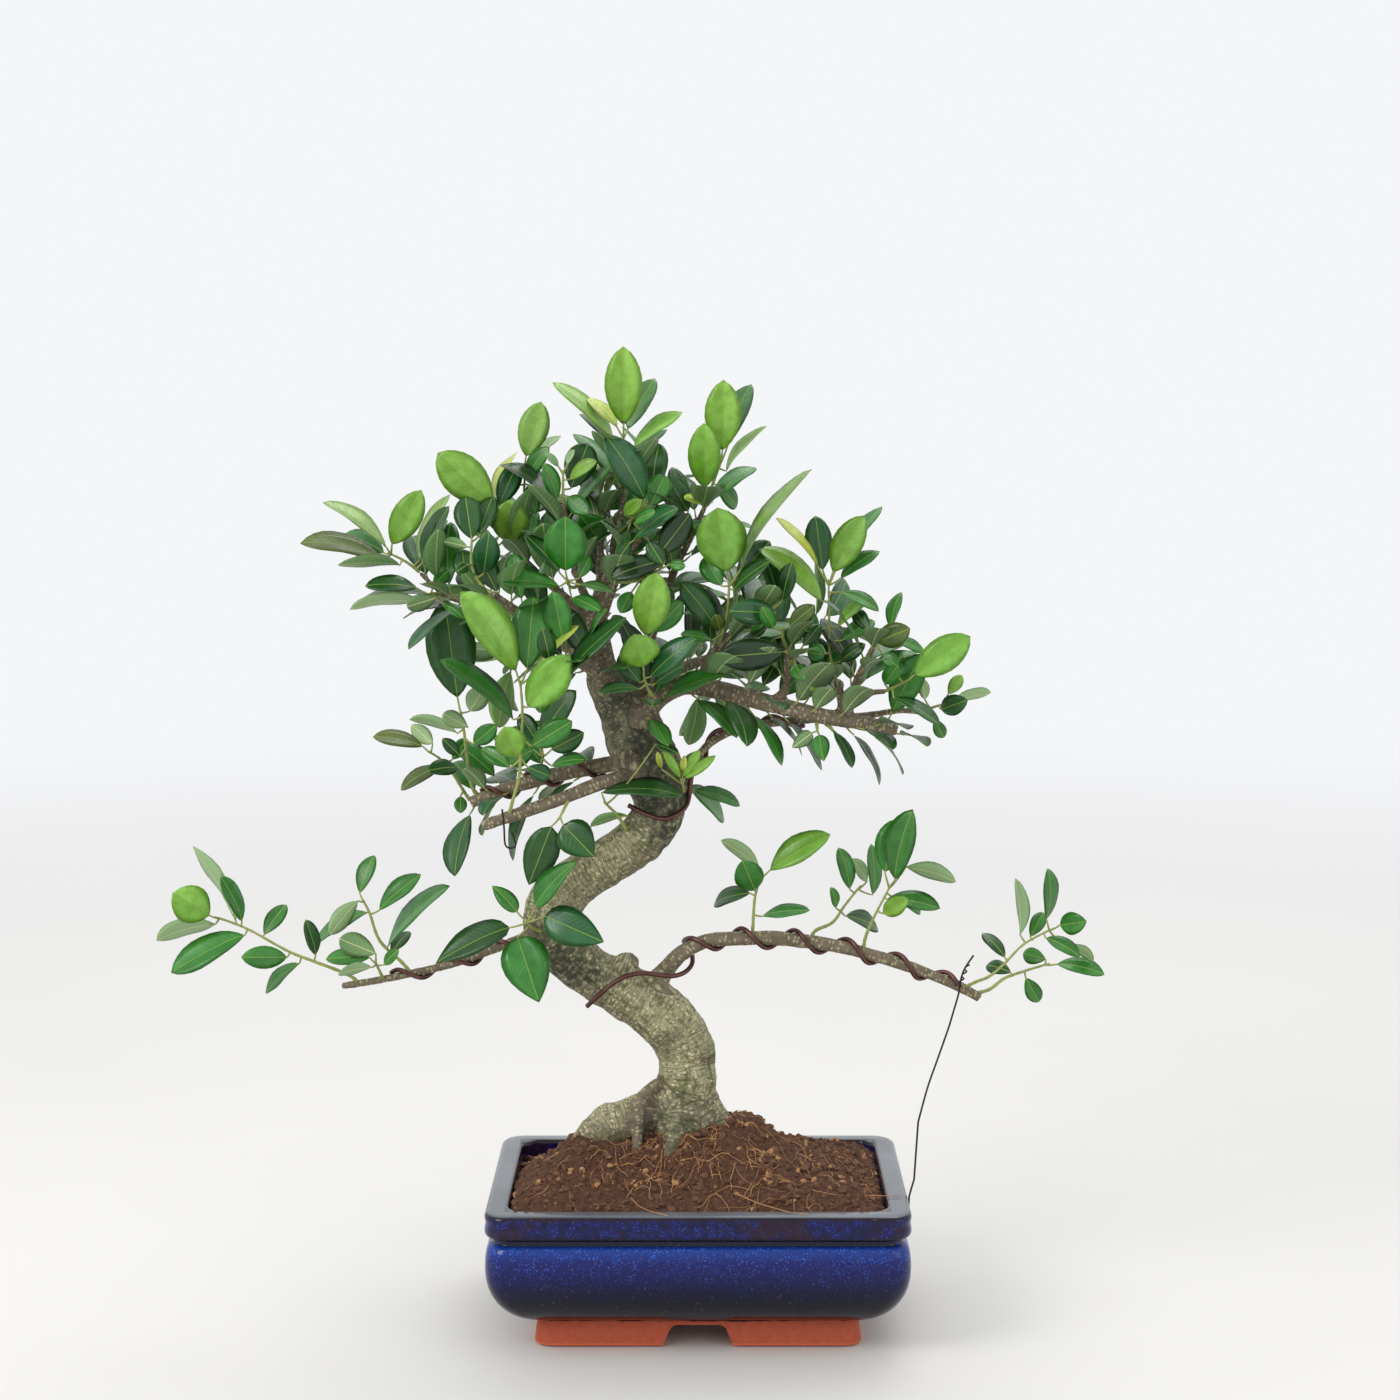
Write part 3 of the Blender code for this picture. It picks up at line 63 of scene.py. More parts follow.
# --- Studio ---------------------------------------------------------------------------------------
# A pale matt table top and wide soft lights: a window-like key at the front left, a weaker fill on
# the right and a top light behind, so that the leaves' gloss and the glaze's highlights read.

pot_low, pot_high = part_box("pot")
POT_CENTRE = Vector((0.5 * (pot_low.x + pot_high.x), 0.5 * (pot_low.y + pot_high.y), 0.0))
EYE = POT_CENTRE + Vector((0.001, -1.477, 0.494))
LOOK_DOWN = 6.53  # degrees below the horizon

bpy.ops.object.select_all(action="DESELECT")
bpy.ops.object.camera_add(location=EYE, rotation=(math.radians(90 - LOOK_DOWN), 0, 0))
camera = bpy.context.object
camera.data.lens = 74.13
camera.data.sensor_width = 36
camera.data.dof.use_dof = False
bpy.context.scene.camera = camera


def linear(code):
    """An sRGB hex colour as linear RGBA."""
    parts = [int(code[i : i + 2], 16) / 255 for i in (1, 3, 5)]
    return (*[p / 12.92 if p <= 0.04045 else ((p + 0.055) / 1.055) ** 2.4 for p in parts], 1.0)


def add_node(tree, kind, *values, **settings):
    """The main output of one new shader node. Values and links fill its open inputs in order, those
    named with a capital fill the input of that name, and the rest are the node's own settings."""
    made = tree.nodes.new("ShaderNode" + kind)
    for name, setting in settings.items():
        if name.islower():
            setattr(made, name, setting)
    filled = list(zip([socket for socket in made.inputs if socket.enabled], values))
    filled += [(made.inputs[name], value) for name, value in settings.items() if not name.islower()]
    for socket, value in filled:
        if isinstance(value, bpy.types.NodeSocket):
            tree.links.new(value, socket)
        else:
            socket.default_value = value
    return next(socket for socket in made.outputs if socket.enabled)


def new_material(name):
    """A material, its node tree and its shader."""
    made = bpy.data.materials.new(name)
    made.use_nodes = True
    return made, made.node_tree, made.node_tree.nodes["Principled BSDF"]


# Paper-white matt laminate with the faintest mottle, which fades to the white of the paper sweep
# behind it, so that no edge shows behind the tree
bpy.ops.mesh.primitive_plane_add(size=60.0, location=(0, 0, -0.0006))
floor = bpy.context.object
floor.name = "floor"
table_top, tree, shader = new_material("matt_white_laminate")
tone = add_node(tree, "TexNoise", add_node(tree, "TexCoord").node.outputs["Object"], 1 / 0.35, 2.0)
colour = add_node(tree, "Mix", tone, linear("#D3D1CD"), linear("#DBD9D5"), data_type="RGBA")
tree.links.new(colour, shader.inputs["Base Color"])
shader.inputs["Roughness"].default_value = 0.55
away = add_node(tree, "VectorMath", add_node(tree, "TexCoord").node.outputs["Object"], operation="LENGTH")
paper = add_node(tree, "Emission", Color=linear("#F7F8FA"), Strength=0.98)
sweep = add_node(
    tree, "MixShader",
    add_node(tree, "MapRange", away, 0.3, 2.6, interpolation_type="SMOOTHSTEP"), shader.outputs[0], paper,
)
tree.links.new(sweep, tree.nodes["Material Output"].inputs["Surface"])
floor.data.materials.append(table_top)

world = bpy.data.worlds.new("studio")
bpy.context.scene.world = world
world.use_nodes = True
world.node_tree.nodes["Background"].inputs["Color"].default_value = linear("#F7F8FA")
world.node_tree.nodes["Background"].inputs["Strength"].default_value = 0.98
bpy.context.scene.view_settings.view_transform = "Standard"

for name, place, aim, size, power in (
    ("key", (-1.30, -1.00, 1.30), (0, 0, 0.25), 0.9, 17.0),
    ("fill", (1.50, -1.10, 0.80), (0, 0, 0.25), 1.0, 3.5),
    ("top", (0.25, 0.60, 1.60), (0, 0, 0.30), 0.9, 8.0),
):
    bpy.ops.object.light_add(type="AREA", location=POT_CENTRE + Vector(place))
    lamp = bpy.context.object
    lamp.name = name
    lamp.data.size = size
    lamp.data.energy = power
    way = Vector(aim) - Vector(place)
    lamp.rotation_euler = way.to_track_quat("-Z", "Y").to_euler()


# --- Pot ------------------------------------------------------------------------------------------
# Rectangular bonsai pot pressed in a mould from red clay and fired once with a cobalt glaze. The
# glaze breaks to brown on the rim's edges and stops above the bare foot; down the belly its blue is
# painted darker towards the foot, as painted shade under the bulge.
# Low arches part the foot ring into four feet, and two drain holes go through the floor.

MM = 0.001
POT_FOOT_TOP = 14.0 * MM
POT_GROOVE = (58.1 * MM, 61.3 * MM)
POT_HALF_X = 0.5 * (pot_high.x - pot_low.x)
POT_HALF_Y = 0.5 * (pot_high.y - pot_low.y)
BELLY_WIDEST = 44.9 * MM
BELLY_UNDERCUT = 26.0 * MM


def deselected():
    if bpy.context.object and bpy.context.object.mode != "OBJECT":
        bpy.ops.object.mode_set(mode="OBJECT")
    bpy.ops.object.select_all(action="DESELECT")


def selected(piece):
    """Leaves this piece alone selected, and active."""
    deselected()
    piece.select_set(True)
    bpy.context.view_layer.objects.active = piece


def placed_piece(piece, name, finishes, replaced):
    """Names a piece, fixes its place in its mesh, gives it its finishes and ties it to the frame."""
    selected(piece)
    bpy.ops.object.transform_apply(location=True, rotation=True, scale=True)
    piece.name = name
    piece.data.name = name
    if not piece.data.materials:
        for finish in finishes:
            piece.data.materials.append(finish)
    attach(piece, "root")
    if replaced:
        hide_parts(*replaced)


# The profile from the recess under the pot, over the foot, belly and rim, down to the inner floor,
# as half width, half depth and height in millimetres
profile = [
    (71.5, 44.0, 0.0), (82.4, 54.9, 0.0), (83.2, 55.7, 0.3), (83.5, 56.0, 1.2), (83.2, 55.7, 4.5),
    (82.6, 55.1, 9.0), (82.1, 54.6, 12.6), (81.6, 54.0, 13.6),
]
for step in range(11):
    angle = math.radians(9 * step)
    inset = BELLY_UNDERCUT / MM * (1 - math.sin(angle))
    height = (BELLY_WIDEST - (BELLY_WIDEST - POT_FOOT_TOP) * math.cos(angle)) / MM
    profile.append((107.5 - inset, 79.0 - inset, height))
profile += [
    (107.5 - inset, 79.0 - inset, height)
    for inset, height in (
        (0.2, 50.0), (0.7, 53.5), (1.5, 56.2), (2.6, 57.6), (3.6, 58.1), (4.0, 59.0), (4.0, 60.6),
        (3.4, 61.3), (1.6, 61.6), (0.6, 62.4), (0.1, 63.6), (0.0, 65.2), (0.3, 67.0), (0.5, 68.6),
        (0.2, 70.4), (0.0, 71.8), (0.4, 73.0), (1.4, 74.0), (2.8, 74.3), (6.5, 74.2), (10.0, 74.3),
        (11.1, 74.1), (11.7, 73.3), (12.0, 71.5), (12.0, 55.0), (13.0, 37.0), (22.4, 26.0),
        (28.1, 20.0),
    )
]
deselected()
bpy.ops.mesh.primitive_plane_add(size=2.0, location=POT_CENTRE + Vector((0, 0, 12 * MM)))
pot = bpy.context.object
pot.scale = (70.5 * MM, 43.0 * MM, 1.0)
bpy.ops.object.transform_apply(location=True, rotation=True, scale=True)
bpy.ops.object.mode_set(mode="EDIT")
bpy.ops.mesh.select_all(action="SELECT")
bpy.ops.mesh.bevel(offset=7 * MM, segments=6, affect="VERTICES")
last = (70.5, 43.0, 12.0)
for ring in profile:
    centre = POT_CENTRE + Vector((0, 0, ring[2] * MM))
    rise = (0, 0, (ring[2] - last[2]) * MM)
    bpy.ops.mesh.extrude_region_move(TRANSFORM_OT_translate={"value": rise})
    widen = (ring[0] / last[0], ring[1] / last[1], 1)
    bpy.ops.transform.resize(value=widen, center_override=centre)
    last = ring
bpy.ops.mesh.select_all(action="SELECT")
bpy.ops.mesh.normals_make_consistent(inside=False)
bpy.ops.object.mode_set(mode="OBJECT")


def cut_with(target, tool):
    """Cuts a tool out of a piece, and removes the tool."""
    selected(target)
    cut = target.modifiers.new("cut", "BOOLEAN")
    cut.operation = "DIFFERENCE"
    cut.solver = "EXACT"
    cut.object = tool
    bpy.ops.object.modifier_apply(modifier="cut")
    bpy.data.objects.remove(tool)


# Arches: trapezoid openings through the foot ring, front to back and side to side
for turn in (0, 90):
    deselected()
    bpy.ops.mesh.primitive_cube_add(size=1.0, location=POT_CENTRE + Vector((0, 0, 2.8 * MM)))
    arch = bpy.context.object
    arch.scale = (40 * MM, 300 * MM, 16 * MM)
    arch.rotation_euler.z = math.radians(turn)
    bpy.ops.object.transform_apply(location=True, rotation=True, scale=True)
    bpy.ops.object.mode_set(mode="EDIT")
    bpy.ops.mesh.select_all(action="DESELECT")
    edges = bmesh.from_edit_mesh(arch.data)
    for vertex in edges.verts:
        vertex.select_set(vertex.co.z > 5 * MM)
    edges.select_flush(True)
    narrow = (27 / 40, 1, 1) if turn == 0 else (1, 27 / 40, 1)
    bpy.ops.transform.resize(value=narrow, center_override=POT_CENTRE)
    edges = bmesh.from_edit_mesh(arch.data)
    for edge in edges.edges:
        run = edge.verts[1].co - edge.verts[0].co
        long = abs(run.y if turn == 0 else run.x) > 0.1
        edge.select_set(long and edge.verts[0].co.z > 5 * MM)
    bpy.ops.mesh.bevel(offset=3.0 * MM, segments=4)
    bpy.ops.object.mode_set(mode="OBJECT")
    cut_with(pot, arch)
for side in (-1, 1):
    deselected()
    place = POT_CENTRE + Vector((side * 38 * MM, 0, 16 * MM))
    bpy.ops.mesh.primitive_cylinder_add(vertices=32, radius=7 * MM, depth=24 * MM, location=place)
    cut_with(pot, bpy.context.object)
selected(pot)
soften = pot.modifiers.new("soften", "BEVEL")
soften.width = 0.9 * MM
soften.segments = 2
soften.limit_method = "ANGLE"
soften.angle_limit = math.radians(50)
bpy.ops.object.modifier_apply(modifier="soften")
bpy.ops.object.shade_smooth_by_angle(angle=math.radians(40))

# Cobalt glaze over red clay: blue floats in specks where the glaze is thick and breaks to brown
glaze, tree, shader = new_material("cobalt_glaze_on_red_clay")
place = add_node(tree, "TexCoord").node.outputs["Object"]
axes = add_node(tree, "SeparateXYZ", place).node
wander = add_node(
    tree, "Math", add_node(tree, "TexNoise", place, 1 / (11 * MM), 4.0), 0.5, operation="SUBTRACT"
)
height = add_node(tree, "Math", wander, 3.2 * MM, axes.outputs["Z"], operation="MULTIPLY_ADD")
# Painted shade: the belly's blue is ramped from bright at the groove to near black at the foot, for the
# shade under the bulge
depth = add_node(
    tree, "ValToRGB",
    add_node(tree, "MapRange", height, POT_FOOT_TOP, POT_GROOVE[0], interpolation_type="SMOOTHSTEP"),
).node
stops = depth.color_ramp.elements
stops[0].color = linear("#05060F")
stops[1].color = linear("#15327E")
for at, code in ((0.22, "#06071A"), (0.5, "#0A0B33"), (0.78, "#0D0F4E"), (0.93, "#10185E")):
    stops.new(at).color = linear(code)
cells = add_node(tree, "TexVoronoi", Vector=place, Scale=1 / (1.25 * MM)).node
specks = add_node(tree, "MapRange", cells.outputs["Distance"], 0.42, 0.16, interpolation_type="SMOOTHSTEP")
patchy = add_node(
    tree, "MapRange",
    add_node(tree, "TexNoise", place, 1 / (5 * MM), 3.0), 0.38, 0.62, interpolation_type="SMOOTHSTEP",
)
specks = add_node(
    tree, "Math", specks,
    add_node(tree, "Math", patchy, 0.75, 0.15, operation="MULTIPLY_ADD"), operation="MULTIPLY",
)
thick = add_node(tree, "MapRange", height, 24 * MM, 57 * MM, interpolation_type="SMOOTHSTEP")
thick = add_node(tree, "Math", thick, 2.2, operation="POWER")
specks = add_node(
    tree, "Math", specks,
    add_node(tree, "Math", thick, 1.0, 0.06, operation="MULTIPLY_ADD"), operation="MULTIPLY",
)
belly = add_node(tree, "Mix", specks, depth.outputs[0], linear("#2E66CE"), data_type="RGBA")
rim_blue = add_node(tree, "Mix", patchy, linear("#0A0B36"), linear("#0F1253"), data_type="RGBA")
rim_blue = add_node(
    tree, "Mix",
    add_node(tree, "Math", specks, 0.6, operation="MULTIPLY"), rim_blue, linear("#2450B4"),
    data_type="RGBA",
)
zones = add_node(
    tree, "MapRange",
    add_node(tree, "TexNoise", place, 1 / (26 * MM), 2.0), 0.5, 0.64, interpolation_type="SMOOTHSTEP",
)
rim_blue = add_node(
    tree, "Mix",
    add_node(tree, "Math", zones, 0.72, operation="MULTIPLY"), rim_blue, linear("#2A110E"),
    data_type="RGBA",
)
low_break = add_node(tree, "MapRange", height, 64.2 * MM, 62.2 * MM, interpolation_type="SMOOTHSTEP")
high_break = add_node(tree, "MapRange", height, 71.4 * MM, 73.2 * MM, interpolation_type="SMOOTHSTEP")
broken = add_node(tree, "Math", low_break, high_break, operation="MAXIMUM")
rim_blue = add_node(
    tree, "Mix",
    add_node(tree, "Math", broken, 0.86, operation="MULTIPLY"), rim_blue, linear("#160A14"),
    data_type="RGBA",
)
# Painted reflection: where the rim's top faces up, the glaze is painted pale grey, for the bright studio it
# reflects at this low view
facing = add_node(tree, "SeparateXYZ", add_node(tree, "NewGeometry").node.outputs["Normal"]).node
level = add_node(tree, "MapRange", facing.outputs["Z"], 0.72, 0.95, interpolation_type="SMOOTHSTEP")
reflecting_top = add_node(
    tree, "Math", level,
    add_node(tree, "MapRange", axes.outputs["Z"], 73 * MM, 73.8 * MM, interpolation_type="SMOOTHSTEP"),
    operation="MULTIPLY",
)
top_reflection = add_node(
    tree, "Mix",
    add_node(tree, "TexNoise", place, 1 / (30 * MM), 1.0), linear("#4C525A"), linear("#757B82"),
    data_type="RGBA",
)
rim_blue = add_node(tree, "Mix", reflecting_top, rim_blue, top_reflection, data_type="RGBA")
from_side = [
    add_node(
        tree, "Math", half,
        add_node(
            tree, "Math", add_node(tree, "Math", axis, middle, operation="SUBTRACT"), operation="ABSOLUTE"
        ),
        operation="SUBTRACT",
    )
    for half, axis, middle in (
        (POT_HALF_X, axes.outputs["X"], POT_CENTRE.x), (POT_HALF_Y, axes.outputs["Y"], POT_CENTRE.y)
    )
]
inset = add_node(tree, "Math", *from_side, operation="MINIMUM")
inner_edge = add_node(
    tree, "Math",
    add_node(tree, "MapRange", inset, 9.6 * MM, 10.8 * MM, interpolation_type="SMOOTHSTEP"),
    add_node(tree, "MapRange", inset, 13 * MM, 12.2 * MM, interpolation_type="SMOOTHSTEP"),
    operation="MULTIPLY",
)
inner_edge = add_node(
    tree, "Math", inner_edge,
    add_node(tree, "MapRange", axes.outputs["Z"], 72 * MM, 73.5 * MM, interpolation_type="SMOOTHSTEP"),
    operation="MULTIPLY",
)
rim_blue = add_node(
    tree, "Mix",
    add_node(tree, "Math", inner_edge, 0.9, operation="MULTIPLY"), rim_blue, linear("#2A1A1C"),
    data_type="RGBA",
)
above = add_node(
    tree, "MapRange", axes.outputs["Z"], POT_GROOVE[1] - 0.4 * MM, POT_GROOVE[1] + 0.4 * MM,
    interpolation_type="SMOOTHSTEP",
)
glazed = add_node(tree, "Mix", above, belly, rim_blue, data_type="RGBA")
# Painted shade: the glaze is painted near black in the recessed groove under the rim
groove_shade = add_node(
    tree, "Math",
    add_node(
        tree, "MapRange", axes.outputs["Z"], POT_GROOVE[0] - 0.6 * MM, POT_GROOVE[0] + 0.5 * MM,
        interpolation_type="SMOOTHSTEP",
    ),
    add_node(
        tree, "MapRange", axes.outputs["Z"], POT_GROOVE[1] + 0.6 * MM, POT_GROOVE[1] - 0.2 * MM,
        interpolation_type="SMOOTHSTEP",
    ),
    operation="MULTIPLY",
)
groove_shade = add_node(
    tree, "Math", groove_shade,
    add_node(tree, "MapRange", inset, 8 * MM, 6 * MM, interpolation_type="SMOOTHSTEP"),
    operation="MULTIPLY",
)
glazed = add_node(
    tree, "Mix",
    add_node(tree, "Math", groove_shade, 0.92, operation="MULTIPLY"), glazed, linear("#0A0916"),
    data_type="RGBA",
)
clay = add_node(
    tree, "Mix",
    add_node(tree, "TexNoise", place, 1 / (3 * MM), 5.0), linear("#A0442F"), linear("#C4603F"),
    data_type="RGBA",
)
lip = add_node(tree, "MapRange", axes.outputs["Z"], 2.2 * MM, 0.6 * MM, interpolation_type="SMOOTHSTEP")
clay = add_node(
    tree, "Mix",
    add_node(tree, "Math", lip, 0.7, operation="MULTIPLY"), clay, linear("#D9744E"), data_type="RGBA",
)
bare = add_node(tree, "MapRange", height, 13.4 * MM, 12.6 * MM, interpolation_type="SMOOTHSTEP")
drip = add_node(
    tree, "Math",
    add_node(tree, "MapRange", height, 16.6 * MM, 14.6 * MM, interpolation_type="SMOOTHSTEP"), 0.85,
    operation="MULTIPLY",
)
glazed = add_node(tree, "Mix", drip, glazed, linear("#1A0E1D"), data_type="RGBA")
dust = add_node(
    tree, "MapRange",
    add_node(tree, "TexNoise", place, 1 / (1.6 * MM), 2.0), 0.66, 0.74, interpolation_type="SMOOTHSTEP",
)
glazed = add_node(
    tree, "Mix",
    add_node(tree, "Math", dust, 0.22, operation="MULTIPLY"), glazed, linear("#8C7A6A"), data_type="RGBA",
)
finish = add_node(tree, "Mix", bare, glazed, clay, data_type="RGBA")
tree.links.new(finish, shader.inputs["Base Color"])
gloss = add_node(
    tree, "Math", add_node(tree, "TexNoise", place, 1 / (7 * MM), 3.0), 0.1, 0.09, operation="MULTIPLY_ADD"
)
rough = add_node(tree, "Math", bare, 0.55, gloss, operation="MULTIPLY_ADD")
tree.links.new(rough, shader.inputs["Roughness"])
pins = add_node(tree, "MapRange", cells.outputs["Distance"], 0.1, 0.0, interpolation_type="SMOOTHSTEP")
waves = add_node(
    tree, "Math", pins, -0.1, add_node(tree, "TexNoise", place, 1 / (9 * MM), 2.0), operation="MULTIPLY_ADD"
)
waves = add_node(
    tree, "Math",
    add_node(tree, "TexNoise", place, 1 / (0.7 * MM), 3.0), 0.1, waves, operation="MULTIPLY_ADD",
)
shader.inputs["Specular IOR Level"].default_value = 0.32
tree.links.new(add_node(tree, "Bump", Height=waves, Distance=0.14 * MM), shader.inputs["Normal"])
placed_piece(pot, "glazed_pot", [glaze], ["pot"])


# --- Drainage screens -----------------------------------------------------------------------------
# Squares cut from a sheet of moulded plastic mesh, laid over the two drain holes under the soil to
# keep it in. They keep their own solids and get the dull sheen of moulded plastic.

screen_plastic, tree, shader = new_material("black_moulded_mesh")
place = add_node(tree, "TexCoord").node.outputs["Object"]
worn = add_node(tree, "TexNoise", place, 1 / (2.0 * MM), 4.0)
tree.links.new(
    add_node(tree, "Mix", worn, linear("#15151A"), linear("#2B2A2C"), data_type="RGBA"),
    shader.inputs["Base Color"],
)
tree.links.new(
    add_node(tree, "Math", worn, 0.25, 0.42, operation="MULTIPLY_ADD"), shader.inputs["Roughness"]
)
tree.links.new(
    add_node(
        tree, "Bump", Height=add_node(tree, "TexNoise", place, 1 / (0.5 * MM), 3.0), Distance=0.08 * MM
    ),
    shader.inputs["Normal"],
)
for name in ("drainage_screen_left", "drainage_screen_right"):
    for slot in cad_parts[name].material_slots:
        slot.material = screen_plastic


# --- Soil -----------------------------------------------------------------------------------------
# A crumbly mix of bark, peat and grit, mounded up to the trunk and packed by hand. Fine feeding
# roots lie loose on top, and one or two hang over the rim.

SOIL_EDGE = 70.0 * MM
SOIL_RISE = 15.5 * MM
SOIL_HALF_X = 95.3 * MM
SOIL_HALF_Y = 66.8 * MM
SOIL_CORNER = 9.0 * MM
SOIL_UNDERSIDE = 55.0 * MM
CRUMBS = 2600
FIBRES = 230


def soil_height(x, y):
    """Height of the soil at x, y from the pot's middle, with its lumps."""
    share = min(SOIL_HALF_X - abs(x), SOIL_HALF_Y - abs(y)) / SOIL_HALF_Y
    share = min(1.0, max(0.0, share / 0.8))
    rise = SOIL_RISE * (1 - (1 - share) ** 1.8)
    heap = 0.75 * math.exp(-(((x + 0.010) / 0.050) ** 2) - ((y + 0.014) / 0.030) ** 2)
    heap += 0.70 * math.exp(-(((x - 0.023) / 0.021) ** 2) - ((y - 0.002) / 0.024) ** 2)
    heap += 0.55 * math.exp(-(((x + 0.066) / 0.020) ** 2) - ((y + 0.020) / 0.026) ** 2)
    hollow = math.exp(-(((x + 0.085) / 0.030) ** 2) - ((y - 0.055) / 0.020) ** 2)
    rise += 20.0 * MM * heap - 8.0 * MM * hollow
    coarse = noise.noise(Vector((x, y, 0.003)) / 0.013)
    lumps = noise.noise(Vector((x, y, 0.017)) / 0.0052)
    crumbs = noise.noise(Vector((x, y, 0.041)) / 0.0022)
    return SOIL_EDGE + rise + MM * (2.0 * coarse + 1.7 * lumps + 1.1 * crumbs)


deselected()
bpy.ops.mesh.primitive_grid_add(x_subdivisions=190, y_subdivisions=134, size=2.0)
soil = bpy.context.object
bpy.ops.object.mode_set(mode="EDIT")
bpy.ops.mesh.select_all(action="SELECT")
bpy.ops.mesh.extrude_region_move(TRANSFORM_OT_translate={"value": (0, 0, 1)})
bpy.ops.mesh.select_all(action="SELECT")
bpy.ops.mesh.normals_make_consistent(inside=False)
bpy.ops.object.mode_set(mode="OBJECT")
for vertex in soil.data.vertices:
    x = vertex.co.x * SOIL_HALF_X
    y = vertex.co.y * SOIL_HALF_Y
    over = Vector((abs(x) - SOIL_HALF_X + SOIL_CORNER, abs(y) - SOIL_HALF_Y + SOIL_CORNER))
    if over.x > 0 and over.y > 0:
        pull = max(over.x, over.y) / over.length
        x -= math.copysign(over.x * (1 - pull), x)
        y -= math.copysign(over.y * (1 - pull), y)
    base = 0.92 if vertex.co.z < 0.5 else 1.0
    z = soil_height(x, y) if vertex.co.z > 0.5 else SOIL_UNDERSIDE
    vertex.co = POT_CENTRE + Vector((x * base, y * base, z))
bpy.ops.object.shade_smooth()

# Damp bark and peat: dark, rough and matt, with pale chips about a millimetre across
potting_mix, tree, shader = new_material("damp_bark_and_peat_mix")
place = add_node(tree, "TexCoord").node.outputs["Object"]
lump = add_node(tree, "TexVoronoi", Vector=place, Scale=1 / (3.2 * MM), Randomness=1.0).node
shade = add_node(
    tree, "Mix",
    add_node(tree, "TexNoise", place, 1 / (4 * MM), 6.0), linear("#22120B"), linear("#5C3A28"),
    data_type="RGBA",
)
shade = add_node(
    tree, "Mix",
    add_node(tree, "Math", lump.outputs["Distance"], 0.55, operation="MULTIPLY"), shade, linear("#6E4831"),
    data_type="RGBA",
)
chips = add_node(
    tree, "MapRange",
    add_node(tree, "TexNoise", place, 1 / (1.1 * MM), 3.0), 0.62, 0.7, interpolation_type="SMOOTHSTEP",
)
shade = add_node(
    tree, "Mix",
    add_node(tree, "Math", chips, 0.55, operation="MULTIPLY"), shade, linear("#A77A50"), data_type="RGBA",
)
tree.links.new(shade, shader.inputs["Base Color"])
shader.inputs["Roughness"].default_value = 0.95
clods = add_node(
    tree, "Math", lump.outputs["Distance"], -0.8,
    add_node(tree, "TexNoise", place, 1 / (1.0 * MM), 6.0), operation="MULTIPLY_ADD",
)
tree.links.new(add_node(tree, "Bump", Height=clods, Distance=1.4 * MM), shader.inputs["Normal"])
placed_piece(soil, "soil_bed", [potting_mix], ["soil"])

def piece_of(shape, name):
    """A new object with the mesh that a bmesh holds."""
    mesh = bpy.data.meshes.new(name)
    shape.to_mesh(mesh)
    shape.free()
    made = bpy.data.objects.new(name, mesh)
    bpy.context.scene.collection.objects.link(made)
    return made


# Crumbs: one lump of bark mix, copied with its own bumps all over the bed
dice = random.Random(7)
deselected()
bpy.ops.mesh.primitive_uv_sphere_add(segments=8, ring_count=5, radius=1.0)
lump_shape = bpy.context.object
crumb_bed = bmesh.new()
for number in range(CRUMBS):
    x = dice.uniform(-0.98, 0.98) * SOIL_HALF_X
    y = dice.uniform(-0.98, 0.98) * SOIL_HALF_Y
    size = MM * (0.5 + 1.9 * dice.random() ** 2.4)
    start = len(crumb_bed.verts)
    crumb_bed.from_mesh(lump_shape.data)
    crumb_bed.verts.ensure_lookup_table()
    turn = Matrix.Rotation(dice.uniform(0, 6.28), 3, "X") @ Matrix.Rotation(dice.uniform(0, 6.28), 3, "Z")
    stretch = Vector((dice.uniform(0.7, 1.6), dice.uniform(0.6, 1.1), dice.uniform(0.5, 0.9)))
    centre = POT_CENTRE + Vector((x, y, soil_height(x, y) + 0.2 * size))
    for vertex in crumb_bed.verts[start:]:
        rough = 1 + 0.45 * noise.noise(vertex.co * 1.7 + Vector((number * 3.1, 0, 0)))
        vertex.co = centre + turn @ (vertex.co * rough * size * stretch)
crumbs = piece_of(crumb_bed, "crumbs")
bpy.data.objects.remove(lump_shape)
# Dry bark crumbs: matt browns, a few of them as pale as fresh wood
crumb_mix, tree, shader = new_material("loose_bark_crumbs")
place = add_node(tree, "TexCoord").node.outputs["Object"]
shade = add_node(
    tree, "Mix",
    add_node(tree, "TexNoise", place, 1 / (3 * MM), 1.0), linear("#331D14"), linear("#81593F"),
    data_type="RGBA",
)
shade = add_node(
    tree, "Mix",
    add_node(
        tree, "MapRange",
        add_node(tree, "TexNoise", place, 1 / (8 * MM), 1.0), 0.6, 0.66, interpolation_type="SMOOTHSTEP",
    ),
    shade, linear("#A98058"), data_type="RGBA",
)
tree.links.new(shade, shader.inputs["Base Color"])
shader.inputs["Roughness"].default_value = 0.92
tree.links.new(
    add_node(
        tree, "Bump", Height=add_node(tree, "TexNoise", place, 1 / (0.6 * MM), 4.0), Distance=0.4 * MM
    ),
    shader.inputs["Normal"],
)
placed_piece(crumbs, "soil_crumbs", [crumb_mix], [])


def curve_piece(name, runs, sides):
    """A mesh of round tubes; each run is a list of (place, radius)."""
    curve = bpy.data.curves.new(name, "CURVE")
    curve.dimensions = "3D"
    curve.bevel_depth = 1.0
    curve.bevel_resolution = (sides - 4) // 2
    curve.use_fill_caps = True
    for run in runs:
        spline = curve.splines.new("POLY")
        spline.points.add(len(run) - 1)
        for point, (place, radius) in zip(spline.points, run):
            point.co = (*place, 1.0)
            point.radius = radius
        spline.use_smooth = True
    made = bpy.data.objects.new(name, curve)
    bpy.context.scene.collection.objects.link(made)
    selected(made)
    bpy.ops.object.convert(target="MESH")
    made = bpy.context.object
    bpy.ops.object.mode_set(mode="EDIT")
    bpy.ops.mesh.select_all(action="SELECT")
    bpy.ops.mesh.remove_doubles(threshold=0.00002)
    bpy.ops.mesh.normals_make_consistent(inside=False)
    bpy.ops.object.mode_set(mode="OBJECT")
    bpy.ops.object.shade_smooth()
    return made


